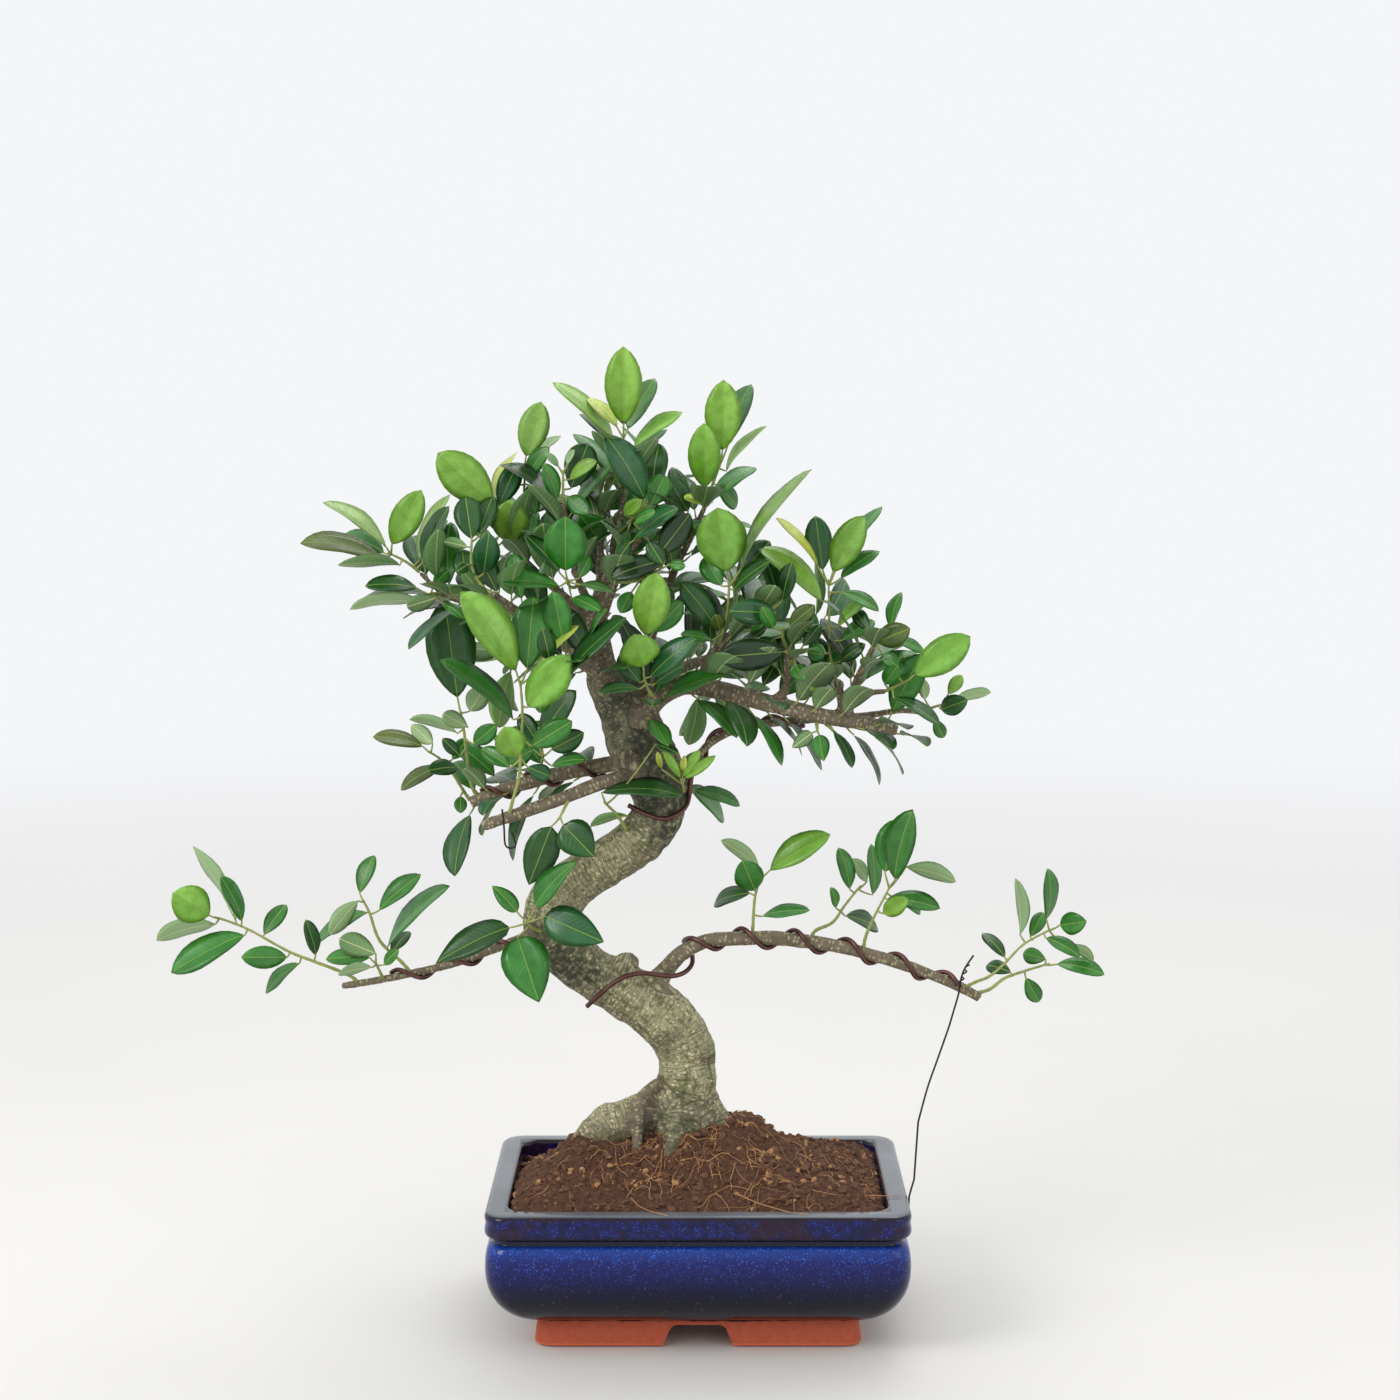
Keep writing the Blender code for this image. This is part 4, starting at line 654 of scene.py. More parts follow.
# Feeding roots: thin orange-brown fibres that wander over the bed
fibres = []
for number in range(FIBRES):
    x = dice.gauss(-0.004, 0.040)
    y = dice.gauss(-0.018, 0.030)
    if abs(x) > 0.093 or abs(y) > 0.064:
        continue
    heading = dice.uniform(0, 6.28)
    length = dice.uniform(0.006, 0.022) * (2.6 if number % 23 == 0 else 1.0)
    radius = MM * dice.uniform(0.12, 0.26)
    run = []
    for step in range(8):
        arch = 1.6 * MM * math.sin(math.pi * step / 7) * dice.uniform(0.3, 1.0)
        z = soil_height(min(0.094, max(-0.094, x)), min(0.065, max(-0.065, y))) + 0.5 * MM + arch
        run.append((POT_CENTRE + Vector((x, y, z)), radius * (1 - 0.07 * step)))
        heading += dice.uniform(-0.6, 0.6)
        x += math.cos(heading) * length / 7
        y += math.sin(heading) * length / 7
    fibres.append(run)
# Three long ones that cross the rim
for points in (
    [(-34, -60, 79), (-30, -66, 76.5), (-24, -71, 75.2), (-19, -74.5, 75.0), (-15, -77.6, 74.8)],
    [(58, -50, 80), (70, -52, 78), (84, -47, 76.4), (96, -44, 75.2), (103, -43, 74.9)],
    [(20, -58, 80), (31, -64, 77), (42, -70, 75.4), (47, -73, 74.9), (56, -75, 74.8)],
):
    fibres.append([(POT_CENTRE + Vector(point) * MM, 0.22 * MM) for point in points])
feeding_roots = curve_piece("feeding_roots", fibres, 6)
# Dry root skin: orange to straw, with a dull sheen
root_fibre, tree, shader = new_material("dry_feeding_root")
place = add_node(tree, "TexCoord").node.outputs["Object"]
shade = add_node(
    tree, "Mix",
    add_node(tree, "TexNoise", place, 1 / (5 * MM), 2.0), linear("#8A5A32"), linear("#D2A26C"),
    data_type="RGBA",
)
tree.links.new(shade, shader.inputs["Base Color"])
shader.inputs["Roughness"].default_value = 0.7
tree.links.new(
    add_node(
        tree, "Bump", Height=add_node(tree, "TexNoise", place, 1 / (0.4 * MM), 2.0), Distance=0.1 * MM
    ),
    shader.inputs["Normal"],
)
placed_piece(feeding_roots, "feeding_roots", [root_fibre], [])


# --- Wood -----------------------------------------------------------------------------------------
# One ficus: surface roots, a zigzag trunk, its limbs and twigs, grown together. The bark is smooth
# and grey-green with rows of pale lenticels, ring creases, old wire scars, dark lichen and, low
# down, moss. Each limb is a list of (x, z, depth, thickness) on the front elevation, in millimetres.

TRUNK = [
    (-8, 52, 0, 34), (-8, 75, 0, 46), (-8, 92, 0, 45), (-7.5, 103, 0, 41), (-7, 111, 0, 37),
    (-6.2, 121, 0, 33.5), (-5.4, 131, 0, 30), (-6.5, 141, 0, 30), (-10.5, 150, 0, 31), (-19.5, 160, 0, 31),
    (-32, 168.5, 1, 30.5), (-47, 177, 2, 28), (-61, 186, 3, 27), (-71.5, 197.5, 3, 28), (-76.5, 211, 3, 30),
    (-71, 223.5, 3, 28.5), (-59, 233.5, 2, 25.5), (-47, 241, 1, 25), (-35, 248.5, 0, 25),
    (-26.5, 256, -1, 26.5), (-20.5, 266, -1, 27.5), (-20, 276, -1, 30), (-23, 287, 0, 32.5),
    (-30, 299, 1, 33), (-34, 312, 2, 31), (-39, 322, 3, 27), (-45.5, 331, 4, 22), (-49.5, 341, 5, 17),
    (-51, 351, 5, 14), (-51.7, 361, 5, 12.5), (-53, 371, 4, 9),
]
ROOTS = {
    "left_knob": [
        (-16, 112, -3, 22), (-34, 104, -9, 23), (-49, 98, -12, 23), (-60, 85, -14, 18), (-66, 66, -15, 12),
    ],
    "left_rib": [
        (-20, 124, -9, 6), (-30, 114, -16, 7), (-31, 100, -21, 6), (-33, 84, -25, 6), (-35, 70, -27, 5),
    ],
    "right": [(2, 112, -4, 18), (12, 100, -9, 15), (22, 87, -13, 11), (31, 72, -16, 7)],
    "back": [(-8, 106, 8, 20), (-12, 92, 24, 15), (-18, 78, 36, 10), (-22, 68, 42, 6)],
    "front": [(-10, 104, -12, 16), (-13, 90, -24, 11), (-18, 78, -33, 7), (-21, 68, -38, 5)],
}
LIMBS = {
    "low_right": [
        (-25, 174, 0, 13), (-16, 184, -2, 10), (-9, 192, -4, 8.4), (4, 198.6, -5, 8), (20, 200, -6, 8),
        (40, 200, -8, 7.8), (60, 198, -10, 7.6), (79, 194.4, -11, 7), (98, 189, -11, 6.6),
        (117, 182.5, -10, 6), (136.5, 174.4, -9, 5.8), (147, 168.5, -8, 5.6),
    ],
    "mid_right": [
        (-34, 314, 2, 18), (-22, 326, 0, 13), (-12, 331.5, -3, 11), (0, 332.6, -6, 10.8),
        (20, 327.5, -9, 10), (44, 321.5, -12, 9), (62, 317, -14, 8.4), (82, 313.4, -15, 8),
        (103, 309.6, -16, 7),
    ],
    "thin_right": [
        (-12, 278, 0, 7), (-4, 288, 0, 5), (3, 299.5, 3, 4.6), (12, 306.2, 7, 4.6), (24, 310.8, 9, 4.6),
        (45, 313.8, 10, 4.6), (66, 315.5, 10, 4.4), (88, 317, 7, 4), (104, 319.5, 4, 3.6), (118, 318, 2, 3),
    ],
    "left_front": [
        (-26, 288, -5, 12), (-40, 284.5, -13, 8.4), (-52, 281, -17, 7.6), (-66, 275.5, -20, 7.2),
        (-82, 269.5, -22, 7), (-98, 264, -23, 6.6), (-112, 259.2, -24, 6),
    ],
    "left_back": [
        (-30, 294, 5, 13), (-42, 292, 12, 9), (-60, 289, 17, 8.6), (-78, 285, 20, 8.2), (-98, 279, 21, 7.4),
        (-118, 271.5, 20, 6.4),
    ],
    "low_left": [
        (-70, 205, 3, 14), (-86, 201.6, 1, 7), (-97, 198, -2, 5.2), (-113, 191.8, -5, 4.8),
        (-131, 185.8, -8, 4.6), (-149.7, 181.5, -9, 4.4), (-168, 177.6, -9, 4.2), (-186, 174.8, -9, 4),
    ],
    "crown_left": [
        (-50, 345, 4, 9), (-64, 356, -4, 6.2), (-80, 365, -14, 5), (-93, 371.5, -22, 4.2),
        (-106, 380.5, -26, 3.6),
    ],
    "crown_far_left": [
        (-80, 365, -14, 4.4), (-97, 371.5, -10, 3.8), (-117, 374.5, -8, 3.4), (-131, 380, -7, 3),
        (-143, 391, -6, 2.6),
    ],
    "crown_rear_left": [
        (-52, 362, 5, 8), (-66, 376, 8, 5), (-80, 388, 10, 4.4), (-89, 397, 10, 3.8),
        (-96.5, 404.5, 8, 3.2),
    ],
    "crown_inner_left": [(-53, 368, 4, 7), (-61, 386, -2, 4.4), (-67, 408, -6, 3.6), (-68.5, 426, -7, 3)],
    "crown_centre": [(-53, 368, 4, 8), (-50.5, 388, 10, 4.4), (-50, 405, 13, 3.8), (-50.5, 420, 13, 3.2)],
    "crown_top": [
        (-53, 368, 4, 8), (-47, 388, 3, 5), (-41.5, 408, 4, 4.2), (-38.5, 430, 5, 3.6), (-38, 451, 5, 3),
    ],
    "crown_right": [(-52, 362, 5, 8), (-45, 380, -4, 5), (-38, 396, -10, 4.4), (-29, 408.5, -14, 3.4)],
    "crown_far_right": [
        (-36, 318, 3, 12), (-27, 348, 12, 6), (-19, 372, 15, 5), (-11, 394, 14, 4.2), (-3, 410, 11, 3.6),
        (4, 426, 8, 3),
    ],
    "right_rise_1": [
        (1, 331, -6, 8), (5, 343, -8, 6.4), (9.5, 351, -9, 5.4), (19, 360.5, -10, 4.6),
        (32, 368.5, -10, 3.6),
    ],
    "right_rise_2": [(38, 323, -11, 6.6), (45, 331, -12, 4.6), (46, 344, -13, 4), (45.5, 353, -14, 3.6)],
    "right_rise_3": [(75, 315, -14, 7.6), (74.4, 324, -13, 5.6), (71, 336, -12, 4.4)],
    "right_rise_4": [(76.5, 315, -14, 7), (79.5, 328, -17, 4.6), (84, 340, -19, 4), (90.5, 353, -20, 3)],
    "right_rise_5": [(79, 324, -16, 4.6), (88, 328.2, -19, 3.6), (97, 329.6, -21, 3)],
    "rear_left": [(-49, 338, 5, 11), (-60, 348, 26, 6.4), (-76, 356, 46, 5), (-92, 364, 62, 4)],
    "rear_right": [
        (-37, 318, 4, 14), (-22, 334, 26, 7.6), (-2, 344, 46, 6), (22, 350, 60, 5), (44, 353, 70, 4),
    ],
    "rear_top": [(-51, 355, 6, 9), (-48, 376, 26, 5.4), (-40, 396, 42, 4.6), (-30, 414, 52, 3.6)],
    "front_left": [(-45, 331, 2, 12), (-52, 338, -18, 6), (-62, 344, -34, 4.6), (-70, 347, -44, 3.6)],
    "front_centre": [(-34, 316, 0, 11), (-25, 322, -18, 5.6), (-22.5, 327, -27, 4)],
}
# Cut stubs and swellings where branches were once taken off: x, z, depth, radius
STUBS = [
    (-38, 187, -6, 6.5), (-61, 201, -7, 6), (-79, 221, -2, 6.5), (-14, 146, -9, 6), (-20, 262, -10, 5),
    (-39, 246, -9, 4.5), (-33, 300, -12, 6), (-47, 333, -4, 6), (4, 334, -8, 4.5), (-8, 128, -12, 5),
]
DRAWN_EYE = Vector((1.0, -1477.0, 494.0))
BARK_GRID = 1.12 * MM


def smoothed(points, pieces):
    """Points along a smooth curve through the given ones, which may carry a thickness."""
    ends = [points[0], *points, points[-1]]
    curve = []
    for first, a, b, last in zip(ends, ends[1:], ends[2:], ends[3:]):
        for step in range(pieces):
            t = step / pieces
            curve.append(
                tuple(
                    q
                    + 0.5 * (r - p) * t
                    + 0.5 * (2 * p - 5 * q + 4 * r - s) * t**2
                    + 0.5 * (3 * q - p - 3 * r + s) * t**3
                    for p, q, r, s in zip(first, a, b, last)
                )
            )
    return [*curve, points[-1]]


def standing(x, z, depth):
    """Where a point drawn at x, z on the elevation stands when it is pushed back by depth."""
    push = (depth - DRAWN_EYE.y) / -DRAWN_EYE.y
    x = DRAWN_EYE.x + (x - DRAWN_EYE.x) * push
    z = DRAWN_EYE.z + (z - DRAWN_EYE.z) * push
    return POT_CENTRE + Vector((x, depth, z)) * MM


limbs = [TRUNK, *ROOTS.values(), *LIMBS.values()]
wood_runs = []
for number, limb in enumerate(limbs):
    curve = smoothed(limb, 6)
    run = []
    for step, (x, z, depth, thickness) in enumerate(curve):
        sway = noise.noise_vector(Vector((0.35 * step, 7.3 * number, 0.0)))
        swell = 1 + 0.07 * noise.noise(Vector((0.55 * step, 3.1 * number, 5.0)))
        run.append((standing(x, z, depth) + sway * 0.03 * thickness * MM, 0.5 * thickness * swell * MM))
    wood_runs.append(run)
wood = curve_piece("wood", wood_runs, 16)
for x, z, depth, radius in STUBS:
    deselected()
    bpy.ops.mesh.primitive_ico_sphere_add(subdivisions=3, radius=radius * MM, location=standing(x, z, depth))
    stub = bpy.context.object
    stub.scale = (1.15, 0.9, 0.85)
    wood.select_set(True)
    bpy.context.view_layer.objects.active = wood
    bpy.ops.object.join()
selected(wood)
grown = wood.modifiers.new("grown", "REMESH")
grown.mode = "VOXEL"
grown.voxel_size = BARK_GRID
bpy.ops.object.modifier_apply(modifier="grown")
healed = wood.modifiers.new("healed", "SMOOTH")
healed.factor = 0.5
healed.iterations = 5
bpy.ops.object.modifier_apply(modifier="healed")
bpy.ops.object.shade_smooth()

# Where each point of the bark lies: millimetres along its limb, round it from the back, and girth
samples = []
for run in wood_runs:
    travelled = 0.0
    for (place, radius), (after, _) in zip(run, run[1:]):
        samples.append((place, radius, travelled, (after - place).normalized()))
        travelled += (after - place).length
nearby = KDTree(len(samples))
for index, (place, *_) in enumerate(samples):
    nearby.insert(place, index)
nearby.balance()

# Bark patches: x, z, radius and how strong, for dark lichen and for moss
LICHEN = [
    (-70, 190, 14, 1.0), (-56, 184, 11, 1.0), (-80, 205, 9, 0.8), (-14, 252, 14, 1.0), (-14, 270, 15, 1.0),
    (-20, 286, 14, 0.95), (-50, 96, 12, 0.6), (-14, 150, 7, 0.5), (-6, 116, 11, 0.6), (-26, 306, 10, 0.8),
    (-44, 318, 8, 0.8), (-36, 332, 10, 0.8), (-22, 106, 12, 0.8), (8, 104, 12, 0.7), (6, 138, 6, 0.5),
    (-12, 258, 20, 1.0), (-16, 276, 21, 1.0), (-26, 298, 17, 0.9), (-68, 188, 19, 1.0), (-4, 100, 16, 0.8),
]
MOSS = [
    (14, 92, 15, 1.0), (-48, 90, 14, 0.9), (-2, 96, 12, 0.7), (-22, 88, 12, 0.6), (-62, 76, 12, 0.9),
    (24, 84, 12, 1.0),
]


def patch_strength(patches, spot):
    """How strongly a spot of the elevation, in millimetres, lies inside any of the patches."""
    ragged = 1 + 0.55 * noise.noise(spot / 7.0) + 0.25 * noise.noise(spot / 2.6)
    found = 0.0
    for x, z, radius, strength in patches:
        reach = math.hypot(spot.x - x, spot.z - z) / (radius * ragged)
        found = max(found, strength * min(1.0, max(0.0, 1.6 - 1.4 * reach)))
    return found


bark_place = wood.data.attributes.new("bark_place", "FLOAT_VECTOR", "POINT")
bark_growth_and_shade = wood.data.attributes.new("bark_growth_and_shade", "FLOAT_VECTOR", "POINT")
normals = [vertex.normal.copy() for vertex in wood.data.vertices]
for vertex, normal in zip(wood.data.vertices, normals):
    found = nearby.find_n(vertex.co, 8)
    index = min(found, key=lambda hit: abs(hit[2] - samples[hit[1]][1]))[1]
    place, radius, travelled, along = samples[index]
    reach = vertex.co - place
    front = (Vector((0, -1, 0.05)) + along * along.y).normalized()
    side = along.cross(front).normalized()
    turn = math.atan2(reach.dot(side), reach.dot(front))
    girth = 2 * radius / MM
    onward = (travelled + reach.dot(along)) / MM
    bark_place.data[vertex.index].vector = (onward, turn * radius / MM, girth)
    spot = (vertex.co - POT_CENTRE) / MM
    lichen = patch_strength(LICHEN, spot)
    moss = patch_strength(MOSS, spot)
    # How far the bark faces down, kept for the painted shade under the limbs
    under = max(0.0, -normal.z)
    bark_growth_and_shade.data[vertex.index].vector = (lichen, moss, under)
    bulk = min(1.0, girth / 28.0)
    lumps = 0.95 * bulk * noise.noise(spot / 11.0) + 0.45 * bulk * noise.noise(spot / 4.2)
    crease = noise.noise(Vector((onward / 3.4, 0.0, girth * 0.02)))
    crease = -0.55 * bulk * max(0.0, crease - 0.18) * (1.6 if spot.z < 135 else 1.0)
    fine = 0.12 * noise.noise(spot / 1.5) * min(1.0, girth / 8)
    vertex.co = vertex.co + normal * (lumps + crease + fine) * MM

# Smooth ficus bark: pale grey-green skin, brown on slim wood, ringed and dotted with lenticels. The
# rings are 2.7 mm apart. Black-green lichen grows on the bends and moss near the soil. Bark that
# faces down is painted brown, as painted shade under the limbs.
bark, tree, shader = new_material("smooth_ficus_bark")
place = add_node(tree, "TexCoord").node.outputs["Object"]
where = add_node(tree, "Attribute", attribute_name="bark_place").node.outputs["Vector"]
lichen_moss_and_shade = add_node(tree, "Attribute", attribute_name="bark_growth_and_shade").node.outputs["Vector"]
where = add_node(tree, "SeparateXYZ", where).node
lichen_moss_and_shade = add_node(tree, "SeparateXYZ", lichen_moss_and_shade).node
along, around, girth = (where.outputs[axis] for axis in "XYZ")
cream = add_node(
    tree, "Mix",
    add_node(tree, "TexNoise", place, 1 / (16 * MM), 4.0), linear("#7C7A55"), linear("#BDB794"),
    data_type="RGBA",
)
streak = add_node(
    tree, "CombineXYZ",
    add_node(tree, "Math", along, 0.02, operation="MULTIPLY"),
    add_node(tree, "Math", around, 0.22, operation="MULTIPLY"),
)
streaks = add_node(tree, "TexNoise", streak, 1.0, 3.0)
cream = add_node(
    tree, "Mix",
    add_node(tree, "MapRange", streaks, 0.5, 0.68, interpolation_type="SMOOTHSTEP"), cream,
    linear("#6E7445"), data_type="RGBA",
)
brown = add_node(
    tree, "Mix",
    add_node(tree, "TexNoise", place, 1 / (5 * MM), 4.0), linear("#3A2D23"), linear("#7D6C5A"),
    data_type="RGBA",
)
dusky = add_node(
    tree, "Mix",
    add_node(
        tree, "MapRange",
        add_node(tree, "TexNoise", place, 1 / (7 * MM), 5.0), 0.36, 0.62, interpolation_type="SMOOTHSTEP",
    ),
    linear("#24251A"), linear("#77735A"), data_type="RGBA",
)
slim = add_node(tree, "MapRange", girth, 15.0, 9.0, interpolation_type="SMOOTHSTEP")
height = add_node(tree, "SeparateXYZ", place).node.outputs["Z"]
low = add_node(tree, "MapRange", height, 0.128, 0.092, interpolation_type="SMOOTHSTEP")
high = add_node(tree, "MapRange", height, 0.248, 0.276, interpolation_type="SMOOTHSTEP")
browned_and_shaded = add_node(
    tree, "Math",
    add_node(tree, "Math", slim, 0.85, operation="MULTIPLY"),
    add_node(tree, "Math", low, 0.55, operation="MULTIPLY"), operation="MAXIMUM",
)
# Painted shade: bark that faces down is painted brown
browned_and_shaded = add_node(
    tree, "Math", browned_and_shaded,
    add_node(tree, "Math", lichen_moss_and_shade.outputs["Z"], 0.75, operation="MULTIPLY"), operation="MAXIMUM",
)
browned_and_shaded = add_node(
    tree, "Math", browned_and_shaded, add_node(tree, "Math", high, 0.88, operation="MULTIPLY"), operation="MAXIMUM"
)
mottle = add_node(
    tree, "Math",
    add_node(
        tree, "MapRange",
        add_node(tree, "TexNoise", place, 1 / (3.5 * MM), 5.0), 0.5, 0.66, interpolation_type="SMOOTHSTEP",
    ),
    0.62, operation="MULTIPLY",
)
cream = add_node(tree, "Mix", mottle, cream, linear("#4A4B2A"), data_type="RGBA")
brown = add_node(
    tree, "Mix",
    add_node(
        tree, "Math", high,
        add_node(tree, "MapRange", girth, 15.0, 21.0, interpolation_type="SMOOTHSTEP"),
        operation="MULTIPLY",
    ),
    brown, dusky, data_type="RGBA",
)
skin = add_node(tree, "Mix", browned_and_shaded, cream, brown, data_type="RGBA")
bands = add_node(
    tree, "Math",
    add_node(tree, "TexNoise", place, 1 / (6 * MM), 4.0), 9.0,
    add_node(tree, "Math", along, math.tau / 2.7, operation="MULTIPLY"), operation="MULTIPLY_ADD",
)
bands = add_node(
    tree, "MapRange",
    add_node(tree, "Math", bands, operation="SINE"), 0.25, 0.85, interpolation_type="SMOOTHSTEP",
)
bands = add_node(
    tree, "Math", bands,
    add_node(tree, "Math", slim, -0.5, 0.62, operation="MULTIPLY_ADD"), operation="MULTIPLY",
)
skin = add_node(tree, "Mix", bands, skin, linear("#4D4C30"), data_type="RGBA")
# Ring creases and red-brown scars run across the limb, rows of pale lenticels between them
ring = add_node(
    tree, "CombineXYZ",
    add_node(tree, "Math", along, 0.42, operation="MULTIPLY"),
    add_node(tree, "Math", around, 0.03, operation="MULTIPLY"),
)
rings = add_node(tree, "TexNoise", ring, 1.0, 4.0)
dark_rings = add_node(
    tree, "Math",
    add_node(tree, "MapRange", rings, 0.56, 0.68, interpolation_type="SMOOTHSTEP"), 0.6,
    operation="MULTIPLY",
)
skin = add_node(tree, "Mix", dark_rings, skin, linear("#5A4A30"), data_type="RGBA")
scar = add_node(
    tree, "CombineXYZ",
    add_node(tree, "Math", along, 0.1, operation="MULTIPLY"),
    add_node(tree, "Math", around, 0.018, operation="MULTIPLY"),
)
scars = add_node(
    tree, "MapRange",
    add_node(tree, "TexNoise", scar, 1.0, 2.0), 0.665, 0.685, interpolation_type="SMOOTHSTEP",
)
skin = add_node(
    tree, "Mix",
    add_node(tree, "Math", scars, 0.7, operation="MULTIPLY"), skin, linear("#7A3F2A"), data_type="RGBA",
)
dots = add_node(
    tree, "CombineXYZ",
    add_node(tree, "Math", along, 0.56, operation="MULTIPLY"),
    add_node(tree, "Math", around, 0.33, operation="MULTIPLY"),
)
dots = add_node(tree, "TexVoronoi", Vector=dots, Scale=1.0, Randomness=0.6).node
dots = add_node(tree, "MapRange", dots.outputs["Distance"], 0.5, 0.26, interpolation_type="SMOOTHSTEP")
present = add_node(
    tree, "MapRange",
    add_node(tree, "TexNoise", place, 1 / (8 * MM), 2.0), 0.3, 0.46, interpolation_type="SMOOTHSTEP",
)
dots = add_node(tree, "Math", dots, present, operation="MULTIPLY")
dots = add_node(
    tree, "Math", dots,
    add_node(tree, "Math", browned_and_shaded, -0.55, 1.0, operation="MULTIPLY_ADD"), operation="MULTIPLY",
)
skin = add_node(
    tree, "Mix",
    add_node(tree, "Math", dots, 0.74, operation="MULTIPLY"), skin, linear("#D6CDA2"), data_type="RGBA",
)
lichened = add_node(
    tree, "Math", lichen_moss_and_shade.outputs["X"],
    add_node(
        tree, "MapRange",
        add_node(tree, "TexNoise", place, 1 / (3 * MM), 5.0), 0.3, 0.56, interpolation_type="SMOOTHSTEP",
    ),
    operation="MULTIPLY",
)
skin = add_node(
    tree, "Mix",
    add_node(tree, "Math", lichened, 0.86, operation="MULTIPLY"), skin, linear("#1B2012"), data_type="RGBA",
)
mossy = add_node(
    tree, "Math", lichen_moss_and_shade.outputs["Y"],
    add_node(
        tree, "MapRange",
        add_node(tree, "TexNoise", place, 1 / (2 * MM), 5.0), 0.4, 0.6, interpolation_type="SMOOTHSTEP",
    ),
    operation="MULTIPLY",
)
skin = add_node(
    tree, "Mix",
    add_node(tree, "Math", mossy, 0.8, operation="MULTIPLY"), skin, linear("#4E5B24"), data_type="RGBA",
)
tree.links.new(skin, shader.inputs["Base Color"])
dull = add_node(
    tree, "Math", mossy, 0.2,
    add_node(tree, "Math", rings, 0.2, 0.58, operation="MULTIPLY_ADD"), operation="MULTIPLY_ADD",
)
tree.links.new(dull, shader.inputs["Roughness"])
skin_height = add_node(
    tree, "Math", dots, 0.5,
    add_node(tree, "Math", rings, -0.8, operation="MULTIPLY"), operation="MULTIPLY_ADD",
)
skin_height = add_node(
    tree, "Math",
    add_node(tree, "TexNoise", place, 1 / (1.2 * MM), 5.0), 0.5, skin_height, operation="MULTIPLY_ADD",
)
skin_height = add_node(tree, "Math", scars, -0.5, skin_height, operation="MULTIPLY_ADD")
tree.links.new(add_node(tree, "Bump", Height=skin_height, Distance=0.9 * MM), shader.inputs["Normal"])
placed_piece(wood, "bark_and_wood", [bark], ["trunk_and_branches"])


# --- Training wires -------------------------------------------------------------------------------
# Brown anodised aluminium wire, 2.5 mm thick, wound by hand round each branch that is being bent.
# Two of them start with an anchor turn round the trunk. Their ends are snipped square.

WIRE_RADIUS = 1.25 * MM
TURN_POINTS = 26
bark_tree = BVHTree.FromPolygons(
    [vertex.co.copy() for vertex in wood.data.vertices],
    [tuple(face.vertices) for face in wood.data.polygons],
)


def coiled(points, start, end, turns, phase, radius):
    """Points of a wire that winds along a limb between two shares of its length."""
    curve = smoothed(points, 8)
    centres = [standing(x, z, depth) for x, z, depth, _ in curve]
    lengths = [0.0]
    for a, b in zip(centres, centres[1:]):
        lengths.append(lengths[-1] + (b - a).length)
    count = round(turns * TURN_POINTS)
    wire = []
    for i in range(count + 1):
        reach = (start + (end - start) * i / count) * lengths[-1]
        k = max(j for j in range(len(centres) - 1) if lengths[j] <= reach)
        t = (reach - lengths[k]) / (lengths[k + 1] - lengths[k])
        centre = centres[k].lerp(centres[k + 1], t)
        along = (centres[k + 1] - centres[k]).normalized()
        thickness = curve[k][3] + (curve[k + 1][3] - curve[k][3]) * t
        away = 0.5 * thickness * MM + radius
        up = (Vector((0, 0, 1)) - along * along.z).normalized()
        out = Matrix.Rotation(math.radians(phase) + math.tau * turns * i / count, 3, along) @ up
        wire.append(centre + out * away)
    return wire


def resting_on_bark(points, radius):
    """The same points, pushed out where a wire of this radius would sink into the bark."""
    moved = []
    for point in points:
        for _ in range(3):
            place, normal, _, distance = bark_tree.find_nearest(point)
            outside = (point - place).dot(normal) > 0
            if outside and distance >= 0.94 * radius:
                break
            point = place + normal * (0.96 * radius)
        moved.append(point)
    return moved


# Anodised aluminium: a brown satin metal with faint blotches from handling
anodised, tree, shader = new_material("brown_anodised_aluminium_wire")
place = add_node(tree, "TexCoord").node.outputs["Object"]
tone = add_node(tree, "TexNoise", place, 1 / (6 * MM), 3.0)
tree.links.new(
    add_node(tree, "Mix", tone, linear("#4A322F"), linear("#7B5A54"), data_type="RGBA"),
    shader.inputs["Base Color"],
)
shader.inputs["Metallic"].default_value = 1.0
tree.links.new(
    add_node(tree, "Math", tone, 0.16, 0.34, operation="MULTIPLY_ADD"), shader.inputs["Roughness"]
)
tree.links.new(
    add_node(
        tree, "Bump", Height=add_node(tree, "TexNoise", place, 1 / (0.7 * MM), 3.0), Distance=0.06 * MM
    ),
    shader.inputs["Normal"],
)
LOW_RIGHT_ANCHOR = [
    (-58, 164, -12), (-50, 171.5, -16), (-41, 178.5, -17), (-31, 181.5, -17), (-22, 181, -15.5),
    (-14, 180, -13), (-7, 182, -9), (-3, 187, -3), (-4, 194, 3), (-8, 199, 2),
]
MID_RIGHT_ANCHOR = [
    (-36, 270, -13), (-28, 266, -16), (-19, 263, -16), (-11, 265, -14), (-6, 270, -9), (-4.5, 276, -4),
]
for name, anchor, winding in (
    ("low_right", LOW_RIGHT_ANCHOR, (LIMBS["low_right"], 0.175, 0.925, 5.2, 10)),
    ("mid_right", MID_RIGHT_ANCHOR, (LIMBS["thin_right"], 0.10, 0.56, 2.4, 60)),
    ("low_left", [], (LIMBS["low_left"], 0.20, 0.78, 2.6, 200)),
    ("mid_left", [], (LIMBS["left_back"], 0.24, 0.92, 2.7, 150)),
):
    path = [standing(*point) for point in smoothed(anchor, 8)] if anchor else []
    path = resting_on_bark(path + coiled(*winding, WIRE_RADIUS), WIRE_RADIUS)
    for _ in range(2):
        path[1:-1] = [0.25 * a + 0.5 * b + 0.25 * c for a, b, c in zip(path, path[1:], path[2:])]
    wire = curve_piece("wire", [[(point, WIRE_RADIUS) for point in path]], 12)
    node_name = "training_wire_" + name
    placed_piece(wire, "wound_wire_" + name, [anodised], [node_name])


# --- Tie-down wire and wire scrap -----------------------------------------------------------------
# Thin dark annealed steel: one wire draws the low right branch down and is hooked into the groove
# under the rim, its upper end twisted and snipped; a scrap of the same wire hangs on a left branch.

